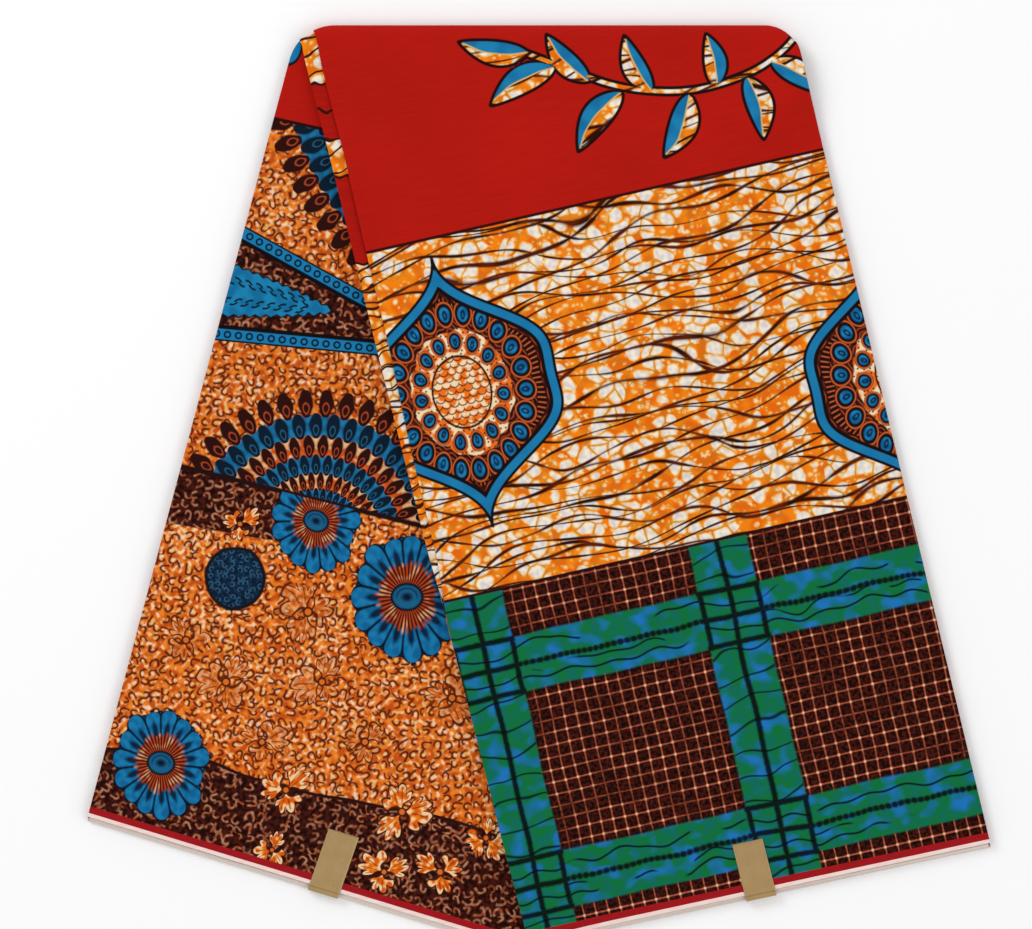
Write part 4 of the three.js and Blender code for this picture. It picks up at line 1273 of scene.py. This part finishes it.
    # a face's zone is its row's
    mat = np.tile(zone, ni - 1)
    motif = np.zeros(cx.shape + (2,))
    motif[..., 0] = 0.5
    polar = np.zeros(cx.shape + (2,))
    best = np.full(cx.shape, 1e9)
    for poly, side in SPRAY:
        lo, hi = poly.min(0) - 8, poly.max(0) + 8
        near = (mat == 0) & (cx.mean(1) > lo[0]) & (cx.mean(1) < hi[0]) & (cy.mean(1) > lo[1]) & (cy.mean(1) < hi[1])
        d, al, L = contour(cx[near], cy[near], poly)
        old = best[near]
        face_better = (d.mean(1) < old.mean(1))[:, None]
        m = motif[near]
        m[..., 0] = np.where(face_better, d / 1000, m[..., 0])
        m[..., 1] = np.where(face_better, side(cx[near], cy[near]) / 1000, m[..., 1])
        motif[near] = m
        best[near] = np.where(face_better, d, old)
    for mx, my, mw, mh in MEDALLIONS:
        near = (mat == 1) & (np.hypot(cx.mean(1) - mx, cy.mean(1) - my) < mh + 12)
        poly, rho, share = medallion_place(cx[near], cy[near], mx, my, mw, mh)
        d, al, L = contour(cx[near], cy[near], poly)
        span = share.max(1) - share.min(1)
        share = np.where((span > 0.5)[:, None] & (share < 0.5), share + 1, share)
        idx = np.flatnonzero(near)
        close = d.min(1) < 5
        motif[idx[close]] = np.stack([d, rho], -1)[close] / 1000
        motif[idx[close], :, 1] = rho[close]
        polar[idx[close]] = np.stack([share, np.zeros_like(share)], -1)[close]
        mat[idx[close]] = 5
    bake = bake_islands(Ua.ravel(), (Da.max() - Da).ravel(), quads, 440.0)
    return make_piece("front_flap_cloth", Vall.reshape(-1, 3), quads, {"Print": uv, "Motif": motif, "Polar": polar, "OFBake": bake},
                      [mat_red(), mat_crackle(), mat_plaid(), M_STRIPE, M_SELVAGE, mat_medallion()], mat, ["front_flap"])


# ======================================================================================================================
# second_fold: strip beside the flap
# ======================================================================================================================
def build_second_fold():
    n = 420
    s = np.linspace(0.002, 1, n)
    y_end = -250.0
    y = np.linspace(START_0[1] - 0.5, y_end, n)
    edge = np.stack([np.interp(y, _y, _fold_x), y], -1)
    d = unit(np.gradient(edge, axis=0))
    inward = np.stack([-d[:, 1], d[:, 0]], -1)
    fade = smooth01((y + 100) / 60.0)
    shift = (1 - fade) * 3.0                       # lower down it draws in under the flap
    offs = [2.0, 1.0, 0.3] + list(np.linspace(0, 15.5, 14))
    zb = over(edge) + STACK + 0.12
    x0, y0 = dots(edge, zb)
    ripple = 0.10 * np.sin(y0 / 9.0) + 0.12 * np.sin(y0 / 23.0 + 1)
    V, X, Y, U = [], [], [], []
    prof = [("under", 2.2), ("a", 2.5), ("a", 1.8), ("a", 1.15), ("a", 0.55)] + [("top", k) for k in np.linspace(0, 15.5, 13)]
    for kind, k in prof:
        p = edge + inward * shift[:, None]
        if kind == "under":
            off, dz, run = k, -2 * ROLL, -(math.pi * ROLL + k)
        elif kind == "a":
            off, dz, run = -ROLL * math.sin(k), -ROLL * (1 - math.cos(k)), -ROLL * k
        else:
            off, dz, run = k, 0.0, k
        p = p + inward * off
        z = zb + dz + ripple * math.exp(-max(off, 0) / 4.0) - 0.5 * smooth01((off - 5) / 6)
        V.append(np.concatenate([p, z[:, None]], -1))
        q = edge + inward * run
        xx, yy = dots(q, zb)
        X.append(xx)
        Y.append(yy)
        U.append(np.full(n, run))
    V, X, Y, U = np.array(V), np.array(X), np.array(Y), np.array(U)
    quads = grid_quads(len(prof), n)
    uv = np.stack([X.ravel(), Y.ravel()], -1)[quads] / 1000.0
    L = np.broadcast_to(-y, X.shape)
    bake = bake_islands(U.ravel(), (L - L.min()).ravel(), quads, 1e9)
    bake = bake * np.array([1.0, 1.0])
    return make_piece("second_fold_cloth", V.reshape(-1, 3), quads, {"Print": uv, "OFBake": bake}, [mat_strip()], None, ["second_fold"]), abs(U.max() - U.min()), abs(y[0] - y[-1])


# ======================================================================================================================
# back_flap: outer layer of the back leg
# ======================================================================================================================
def build_back_flap():
    nu = 214
    u = np.linspace(0, 1, nu)
    samples = 900
    s = np.linspace(0.006, 1, samples)
    P = back_plan(u[:, None], s[None, :])
    z = np.full(P.shape[:2], STACK + GAP + WALL)
    x, y = dots(P, z)
    to_hem = distance_to_hem(P, BACK_L, BACK_R) / DOT
    lines = [(277, 119, 0.222), (245, 234, 0.553), (222, 334, 0.095), (183, 467, 0.248)]
    back = HEM_BACKOFF / DOT
    stops = [np.full(nu, s[0])]
    for x0, y0, k in lines:
        f = y - (y0 + (x - x0) * k)
        f = np.maximum.accumulate(f, axis=1) + np.arange(samples) * 1e-6
        stops.append(np.array([np.interp(0.0, f[c], s) for c in range(nu)]))
    for d in (back + 10.6, back + 3.9, back):
        stops.append(np.array([np.interp(-d, -to_hem[c], s) for c in range(nu)]))
    stops = np.stack(stops, -1)
    for k in range(1, stops.shape[1]):
        stops[:, k] = np.maximum(stops[:, k], stops[:, k - 1] + 0.002)
    counts = [36, 60, 56, 90, 160, 6, 2]
    rows = []
    for m, n in enumerate(counts):
        t = np.arange(n) / n
        rows.append(stops[:, m:m + 1] + (stops[:, m + 1:m + 2] - stops[:, m:m + 1]) * t[None, :])
    S = np.concatenate(rows + [stops[:, -1:]], 1)
    zone = np.repeat(np.arange(7), counts)
    P = back_plan(u[:, None], S)
    z = np.full(P.shape[:2], STACK + GAP + WALL)
    x, y = dots(P, z)
    # under the front leg it is pressed flat
    open_ = smooth01((x_front_edge(y) - x) / 25.0)
    z = z + (crease_height(x, y) + 0.12) * open_ * smooth01(S / 0.03) - 0.02
    z = z - 0.35 * smooth01(1 - (S[:, -1:] - S) / 0.006)
    V = np.concatenate([P, z[..., None]], -1)
    width = 305.0
    nj = V.shape[1]

    def roll(col, nxt):
        out = unit(V[col, :, :2] - V[nxt, :, :2])
        rings, dist = [], []
        for ph in (0.55, 1.15, 1.8, 2.5, math.pi):
            ring = V[col].copy()
            ring[:, :2] += out * (ROLL * math.sin(ph))
            ring[:, 2] -= ROLL * (1 - math.cos(ph))
            rings.append(ring)
            dist.append(ROLL * ph)
        ring = rings[-1].copy()
        ring[:, :2] -= out * 2.2
        rings.append(ring)
        dist.append(dist[-1] + 2.2)
        return rings, dist, out
    left, dl, ol = roll(0, 3)
    right, dr, orr = roll(nu - 1, nu - 4)
    down = np.concatenate([np.zeros((nu, 1)), np.cumsum(np.linalg.norm(np.diff(P, axis=1), axis=2), axis=1)], 1)
    across = np.broadcast_to(u[:, None] * width, down.shape)
    Vall = np.stack(left[::-1] + [V[k] for k in range(nu)] + right, 0)
    Xall = np.stack([x[0] + ol[:, 0] * d / DOT for d in dl[::-1]] + [x[k] for k in range(nu)] + [x[-1] + orr[:, 0] * d / DOT for d in dr], 0)
    Yall = np.stack([y[0] - ol[:, 1] * d / DOT for d in dl[::-1]] + [y[k] for k in range(nu)] + [y[-1] - orr[:, 1] * d / DOT for d in dr], 0)
    Ua = np.stack([across[0] - d for d in dl[::-1]] + [across[k] for k in range(nu)] + [across[-1] + d for d in dr], 0)
    Da = np.stack([down[0]] * len(dl) + [down[k] for k in range(nu)] + [down[-1]] * len(dr), 0)
    ni = Vall.shape[0]
    quads = grid_quads(ni, nj)
    uv = np.stack([Xall.ravel(), Yall.ravel()], -1)[quads] / 1000.0
    cx, cy = Xall.ravel()[quads], Yall.ravel()[quads]
    mat = np.tile(zone, ni - 1)
    motif = np.full(cx.shape + (2,), 5.0)
    kinds = {"daisy": 7, "blob": 8, "leaf": 9, "faint": 10}
    for number, (kind, mx, my, r, turn) in reversed(list(enumerate(BACK_MOTIFS))):
        c, s_ = math.cos(turn), math.sin(turn)
        tall = 1.17 if kind == "daisy" else 1.0
        dx, dy = (cx - mx) / r, (cy - my) / (r * tall)
        lx, ly = dx * c + dy * s_, dy * c - dx * s_
        near = (np.hypot(lx, ly).min(1) < 1.2) & ((mat == 4) | (mat > 6))
        own = 10.0 * number if kind in ("leaf", "faint") else 0.0
        motif[near] = np.stack([lx[near] + own, ly[near]], -1)
        mat[near] = kinds[kind]
    bake = bake_islands(Ua.ravel(), (Da.max() - Da).ravel(), quads, 440.0)
    mats = [mat_back_red(), mat_top_hooks(), mat_wedge(), mat_fan(), mat_field(), M_STRIPE, M_SELVAGE,
            mat_field("back_daisy", "daisy"), mat_field("back_blob", "blob"), mat_field("back_leaf", "leaf"), mat_field("back_faint_leaf", "faint")]
    return make_piece("back_flap_cloth", Vall.reshape(-1, 3), quads, {"Print": uv, "Motif": motif, "OFBake": bake}, mats, mat, ["back_flap"])


def x_front_edge(y_dots):
    """Dots: the flap's left edge at each height."""
    Y = (CENTRE_Y - y_dots) * DOT
    return np.interp(Y, _y, _fold_x) / DOT + CENTRE_X


# ======================================================================================================================
# folded_layers: all hidden layers of both legs, round the inner fold
# ======================================================================================================================
FOLDS, LAYERS = 9, 18


def wander(n, path, seed, reach, waves):
    """Smooth unevenness along a path (mm), one row for each of n folds."""
    r = np.random.default_rng(seed)
    out = np.zeros((n, len(path)))
    for w in waves:
        amp, phase = r.normal(0, 1, (n, 1)), r.uniform(0, 6.283, (n, 1))
        wave = w * r.uniform(0.8, 1.25, (n, 1))
        out += amp * np.sin(path[None, :] / wave + phase)
    return out / len(waves) * reach


def build_layers():
    nt, nk = 52, 54
    t = np.concatenate([np.linspace(0, 0.06, 8)[:-1], np.linspace(0.06, 0.94, nt - 14), np.linspace(0.94, 1, 8)[1:]])
    nt = len(t)
    w = np.linspace(0, 1, nk + 1)
    n_leg, n_bend = 176, 12
    s_front = np.linspace(1, 0, n_leg)
    s_back = np.linspace(0.003, 1, n_leg)
    blocks = []
    # front leg
    Pf = front_plan(t[:, None], s_front[None, :])
    strip_y = smooth01((Pf[..., 1] + 262) / 60)
    step = (WALL + GAP) * smooth01((0.085 - t) / 0.02)[:, None] * strip_y
    low, high = under(Pf), over(Pf) + STACK - step - 0.05
    blocks.append(np.concatenate([np.broadcast_to(Pf[:, :, None, :], (nt, n_leg, nk + 1, 2)),
                                  (low[..., None] + (high - low)[..., None] * w)[..., None]], -1))
    # bend
    ang = np.pi * np.arange(1, n_bend) / n_bend
    T, A, W = np.meshgrid(t, ang, w, indexing="ij")
    edge, n, depth, start = bend_column(t)
    D = depth[:, None, None]
    reach = np.maximum(0.15, lerp(0.5, D - WALL - 1.5 * GAP, W)) * np.sin(A)
    xy = start[:, None, None, :] + n[:, None, None, :] * reach[..., None]
    z = lerp(STACK + (WALL + 2 * GAP) / 2, MID, W) + lerp((WALL + 2 * GAP) / 2, MID - WALL - GAP, W) * np.cos(A)
    blocks.append(np.concatenate([xy, z[..., None]], -1))
    # back leg
    Pb = back_plan(t[:, None], s_back[None, :])
    lowb = np.zeros(Pb.shape[:2]) + (1.3 * smooth01(1 - s_back / 0.02))[None, :]
    zb = lerp(STACK - 0.05, lowb[..., None], w)
    blocks.append(np.concatenate([np.broadcast_to(Pb[:, :, None, :], (nt, n_leg, nk + 1, 2)), zb[..., None]], -1))
    V = np.concatenate(blocks, 1).copy()                       # (nt, path, levels, 3)
    npth = V.shape[1]
    # way along the path, for each side
    def lengths(i):
        c = V[i, :, nk // 2]
        return np.concatenate([[0], np.cumsum(np.linalg.norm(np.diff(c, axis=0), axis=1))])
    L0, L1 = lengths(0), lengths(-1)
    # folds at the two sides
    fold = np.minimum((w * FOLDS).astype(int), FOLDS - 1)
    inner = np.abs((w * FOLDS) % 1.0 - 0.5) * 2
    inner[-1] = 1.0
    round_ = -0.42 * (1 - np.sqrt(np.clip(1 - inner ** 2, 0, 1)))
    in_bend = np.zeros(npth)
    in_bend[n_leg - 6:n_leg + n_bend + 5] = 1
    calm = 1 - smooth01(np.convolve(in_bend, np.ones(9) / 9, "same"))
    for side, idx, nxt, L, seed in (("left", 0, 6, L0, 11), ("right", -1, -7, L1, 23)):
        off = wander(FOLDS, L, seed, 0.55, (160, 70, 33))
        off += np.random.default_rng(seed + 1).uniform(-0.75, 0.0, (FOLDS, 1))
        off = np.clip(off, -1.7, 0.15)
        # the outermost folds stay under the flaps' own folded edges
        off[0] -= 0.2
        off[-1] -= 0.2
        out = V[idx, :, :, :2] - V[nxt, :, :, :2]
        out = unit(out)
        amount = (off[fold].T * (0.25 + 0.75 * calm[:, None]) + round_[None, :])
        new = V[idx].copy()
        new[:, :, :2] += out * amount[..., None]
        V[idx] = new
    # hems: one edge for each layer, stepping back towards the top layer
    layer = np.minimum((w * LAYERS).astype(int), LAYERS - 1)
    inner_h = np.abs((w * LAYERS) % 1.0 - 0.5) * 2
    for hem, j, nxt, seed in (("front", 0, 6, 5), ("back", npth - 1, npth - 7, 7)):
        c = V[:, j, nk // 2, :2]
        run = np.concatenate([[0], np.cumsum(np.linalg.norm(np.diff(c, axis=0), axis=1))])
        height = (layer / (LAYERS - 1)) if hem == "front" else 1 - layer / (LAYERS - 1)   # 1 next to the top layer
        base = -0.3 - 2.9 * np.clip((height - 0.35) / 0.65, 0, 1) ** 1.3
        jitter = wander(LAYERS, run, seed, 0.5, (110, 48)) + np.random.default_rng(seed + 3).uniform(-0.4, 0.25, (LAYERS, 1))
        amount = base[:, None] + jitter[layer] - 0.12 * inner_h[:, None]
        amount = np.clip(amount, -3.9, 0.0)
        out = unit(V[:, j, :, :2] - V[:, nxt, :, :2])
        inwards = 1 if hem == "front" else -1
        for k, share in ((0, 1.0), (1, 0.6), (2, 0.25)):
            V[:, j + k * inwards, :, :2] += out * (amount.T * share)[..., None]
    # six faces of the block
    idx = -np.ones(V.shape[:3], int)
    used, quads, uvs, mats = [], [], [], []
    shell = np.zeros(V.shape[:3], bool)
    shell[0], shell[-1], shell[:, 0], shell[:, -1], shell[:, :, 0], shell[:, :, -1] = (True,) * 6
    idx[shell] = np.arange(shell.sum())
    verts = V[shell]
    px = V[..., 0] / DOT + CENTRE_X
    py = CENTRE_Y - V[..., 1] / DOT
    path_dots = [L0 / DOT, L1 / DOT]

    def add(ids, U, Wv, mat, flip):
        a, b_, c, d = ids[:-1, :-1], ids[1:, :-1], ids[1:, 1:], ids[:-1, 1:]
        q = np.stack([a, b_, c, d], -1).reshape(-1, 4)
        uvq = np.stack([np.stack([F[:-1, :-1], F[1:, :-1], F[1:, 1:], F[:-1, 1:]], -1).reshape(-1, 4) for F in (U, Wv)], -1)
        if flip:
            q, uvq = q[:, ::-1], uvq[:, ::-1]
        quads.append(q)
        uvs.append(uvq)
        mats.append(np.full(len(q), mat))
    # outside of the U (w = 1) and inside (w = 0)
    add(idx[:, :, -1], px[:, :, -1] / 1000, (py[:, :, -1]) / 1000, 0, False)
    add(idx[:, :, 0], px[:, :, 0] / 1000, (py[:, :, 0]) / 1000, 0, True)
    WF = np.broadcast_to(w * FOLDS, (npth, nk + 1))
    add(idx[0], np.broadcast_to(path_dots[0][:, None], WF.shape) / 1000, WF, 1, False)
    add(idx[-1], np.broadcast_to(path_dots[1][:, None], WF.shape) / 1000, WF + 20, 1, True)
    WL = np.broadcast_to(w * LAYERS, (nt, nk + 1))
    U = np.broadcast_to((t * 480)[:, None], WL.shape) / 1000
    add(idx[:, 0], U, WL, 2, True)
    add(idx[:, -1], U + 0.7, WL, 2, False)
    quads, uvs, mats = np.concatenate(quads), np.concatenate(uvs), np.concatenate(mats)
    # outward normals: the signed volume is positive
    P = verts[quads]
    vol = np.einsum("ij,ij->i", P[:, 0], np.cross(P[:, 1], P[:, 2])).sum() + np.einsum("ij,ij->i", P[:, 0], np.cross(P[:, 2], P[:, 3])).sum()
    if vol < 0:
        quads, uvs = quads[:, ::-1], uvs[:, ::-1]
    # compact map for baking: visible undersides and edges each get their own strip
    bake = np.zeros(uvs.shape)
    sel = mats == 0
    n_skin = (nt - 1) * (npth - 1)
    skin = np.flatnonzero(sel)
    side_faces = np.flatnonzero(mats == 1)
    hem_faces = np.flatnonzero(mats == 2)
    P = verts[quads]
    half1, half2 = skin[:n_skin], skin[n_skin:]
    back_low = half1[P[half1][:, :, 2].mean(1) < 3.2]
    front_low = half2[P[half2][:, :, 2].mean(1) < 4.6]
    def place(faces, x0, y0, k=1 / 700.0):
        bake[faces, :, 0] = x0 + (P[faces][:, :, 0] + 300) * k
        bake[faces, :, 1] = y0 + (P[faces][:, :, 1] + 310) * k
    rest = np.setdiff1d(skin, np.concatenate([back_low, front_low]))
    place(rest, 0.93, 0.02, 1 / 12000.0)
    place(back_low, 0.0, 0.0, 1 / 1450.0)
    place(front_low, 0.47, 0.0, 1 / 1450.0)
    sf = uvs[side_faces]
    is_right = sf[:, :, 1].mean(1) > 15
    row = np.floor((sf[:, :, 0].min(1)) / 0.965)
    bake[side_faces, :, 0] = 0.01 + (sf[:, :, 0] - row[:, None] * 0.965) * 0.92
    bake[side_faces, :, 1] = 0.47 + 0.07 * (row[:, None] + 3 * is_right[:, None]) + (sf[:, :, 1] - 20 * is_right[:, None]) / FOLDS * 0.055
    hf = uvs[hem_faces]
    second = hf[:, :, 0].mean(1) > 0.6
    bake[hem_faces, :, 0] = 0.01 + (hf[:, :, 0] - 0.7 * second[:, None]) * 1.8
    bake[hem_faces, :, 1] = 0.90 + 0.045 * second[:, None] + hf[:, :, 1] / LAYERS * 0.038
    # the outermost two rows at each hem are the pale selvage
    ends = mats[:2 * n_skin].reshape(2, nt - 1, npth - 1)
    ends[:, :, :2], ends[:, :, -2:] = 3, 3
    return make_piece("folded_layers_cloth", verts, quads, {"Print": uvs, "OFBake": bake}, [M_UNDER, mat_side(), mat_hem_edges(), M_SELVAGE], mats, ["folded_layers"])


# ======================================================================================================================
# labels
# ======================================================================================================================
LABELS = [
    dict(name="label_front", hem=(FRONT_L, FRONT_R), across=0.5015, width=20.0, length=37.5, turn=14.2),
    dict(name="label_back", hem=(BACK_L, BACK_R), across=0.517, width=20.5, length=41.5, turn=-19.0),
]


def build_label(k, mat):
    a, b = k["hem"]
    foot = a + (b - a) * k["across"]
    turn = math.radians(k["turn"])
    along = np.array([-math.sin(turn), math.cos(turn)])
    side = unit(b - a)
    z = STACK + 2 * GAP + WALL
    thick = 0.32
    # the centre line of the paper's section: distance up the cloth, and height
    down = np.linspace(5.0, 0.8, 6)
    line_ = [(-GAP - thick / 2, z - d) for d in down]
    for ph in np.linspace(0.15, 1.0, 6):
        th = ph * math.pi / 2
        line_.append((-GAP - thick / 2 + 0.8 * (1 - math.cos(th)), z - 0.8 + (0.8 + thick / 2) * math.sin(th)))
    for d in np.linspace(1.2, k["length"], 26):
        line_.append((d, z + thick / 2 + 0.28 * smooth01((d - k["length"] * 0.55) / (k["length"] * 0.45)) + 0.12 * math.exp(-((d - 2.2) / 0.8) ** 2)))
    line_ = np.array(line_)
    tang = unit(np.gradient(line_, axis=0))
    nrm = np.stack([-tang[:, 1], tang[:, 0]], -1)
    run = np.concatenate([[0], np.cumsum(np.linalg.norm(np.diff(line_, axis=0), axis=1))])
    zero = run[11]
    nx = 15
    xs = np.linspace(-0.5, 0.5, nx) * k["width"]
    n = len(line_)
    V = np.zeros((nx, n, 2, 3))
    for m in (0, 1):
        sec = line_ + nrm * thick * (m - 0.5)
        for i, x in enumerate(xs):
            curl = 0.16 * (abs(x) / (k["width"] / 2)) ** 3 * smooth01((run - zero) / k["length"])
            V[i, :, m, :2] = foot + side * x + along * sec[:, :1]
            V[i, :, m, 2] = sec[:, 1] + curl
    idx = np.arange(nx * n * 2).reshape(nx, n, 2)
    quads, uvs = [], []
    U = np.broadcast_to(xs[:, None, None], (nx, n, 2)) / 100
    R = np.broadcast_to((run - zero)[None, :, None], (nx, n, 2)) / 100

    def add(sl, flip):
        ids, u_, r_ = idx[sl], U[sl], R[sl]
        q = np.stack([ids[:-1, :-1], ids[1:, :-1], ids[1:, 1:], ids[:-1, 1:]], -1).reshape(-1, 4)
        uvq = np.stack([np.stack([F[:-1, :-1], F[1:, :-1], F[1:, 1:], F[:-1, 1:]], -1).reshape(-1, 4) for F in (u_, r_)], -1)
        quads.append(q[:, ::-1] if flip else q)
        uvs.append(uvq[:, ::-1] if flip else uvq)
    add((slice(None), slice(None), 1), False)
    add((slice(None), slice(None), 0), True)
    add((0, slice(None), slice(None)), False)
    add((nx - 1, slice(None), slice(None)), True)
    add((slice(None), 0, slice(None)), True)
    add((slice(None), n - 1, slice(None)), False)
    quads, uvs = np.concatenate(quads), np.concatenate(uvs)
    verts = V.reshape(-1, 3)
    P = verts[quads]
    vol = np.einsum("ij,ij->i", P[:, 0], np.cross(P[:, 1], P[:, 2])).sum() + np.einsum("ij,ij->i", P[:, 0], np.cross(P[:, 2], P[:, 3])).sum()
    if vol < 0:
        quads, uvs = quads[:, ::-1], uvs[:, ::-1]
    return make_piece(k["name"] + "_paper", verts, quads, {"Print": uvs}, [mat], None, [k["name"]])


# ======================================================================================================================
# Everything
# ======================================================================================================================
front = build_front_flap()
second, strip_w, strip_l = build_second_fold()
back = build_back_flap()
layers = build_layers()
M_LABEL = mat_label()
labels = [build_label(k, M_LABEL) for k in LABELS]

# ---- floor, light, camera -----------------------------------------------------------------------------------------------
scene = bpy.context.scene
bpy.ops.mesh.primitive_plane_add(size=8.0, location=(0, 0, -0.0002))
floor = bpy.context.object
floor.name = "floor"
fm = bpy.data.materials.new("floor_pale")
fm.use_nodes = True
fb = fm.node_tree.nodes["Principled BSDF"]
fb.inputs["Base Color"].default_value = (0.93, 0.93, 0.935, 1)
fb.inputs["Roughness"].default_value = 0.9
fb.inputs["Specular IOR Level"].default_value = 0.1
floor.data.materials.append(fm)

world = bpy.data.worlds.new("studio")
world.use_nodes = True
world.node_tree.nodes["Background"].inputs[0].default_value = (1.0, 1.0, 1.0, 1)
world.node_tree.nodes["Background"].inputs[1].default_value = 0.78
scene.world = world


def area_light(name, at, size, watts, colour=(1, 1, 1)):
    data = bpy.data.lights.new(name, "AREA")
    data.shape = "DISK"
    data.size = size
    data.energy = watts
    data.color = colour
    o = bpy.data.objects.new(name, data)
    scene.collection.objects.link(o)
    o.location = at
    o.rotation_mode = "QUATERNION"
    o.rotation_quaternion = (Vector((0, 0, 0)) - Vector(at)).to_track_quat("-Z", "Y")
    return o


area_light("key", (-1.7, 1.6, 1.9), 1.4, 27)
area_light("fill", (1.9, -0.6, 2.4), 1.8, 12)

cam_data = bpy.data.cameras.new("camera")
cam_data.sensor_width = 36.0
cam_data.sensor_fit = "AUTO"
cam_data.lens = 36.0 * EYE[2] / (1032 * DOT)
cam_data.clip_start, cam_data.clip_end = 0.05, 30.0
cam = bpy.data.objects.new("camera", cam_data)
scene.collection.objects.link(cam)
cam.location = (EYE[0] / 1000, EYE[1] / 1000, EYE[2] / 1000)
cam.rotation_euler = (0, 0, 0)
scene.camera = cam
scene.view_settings.view_transform = "Standard"
scene.view_settings.look = "None"
scene.view_settings.exposure = 0.0
scene.view_settings.gamma = 1.0
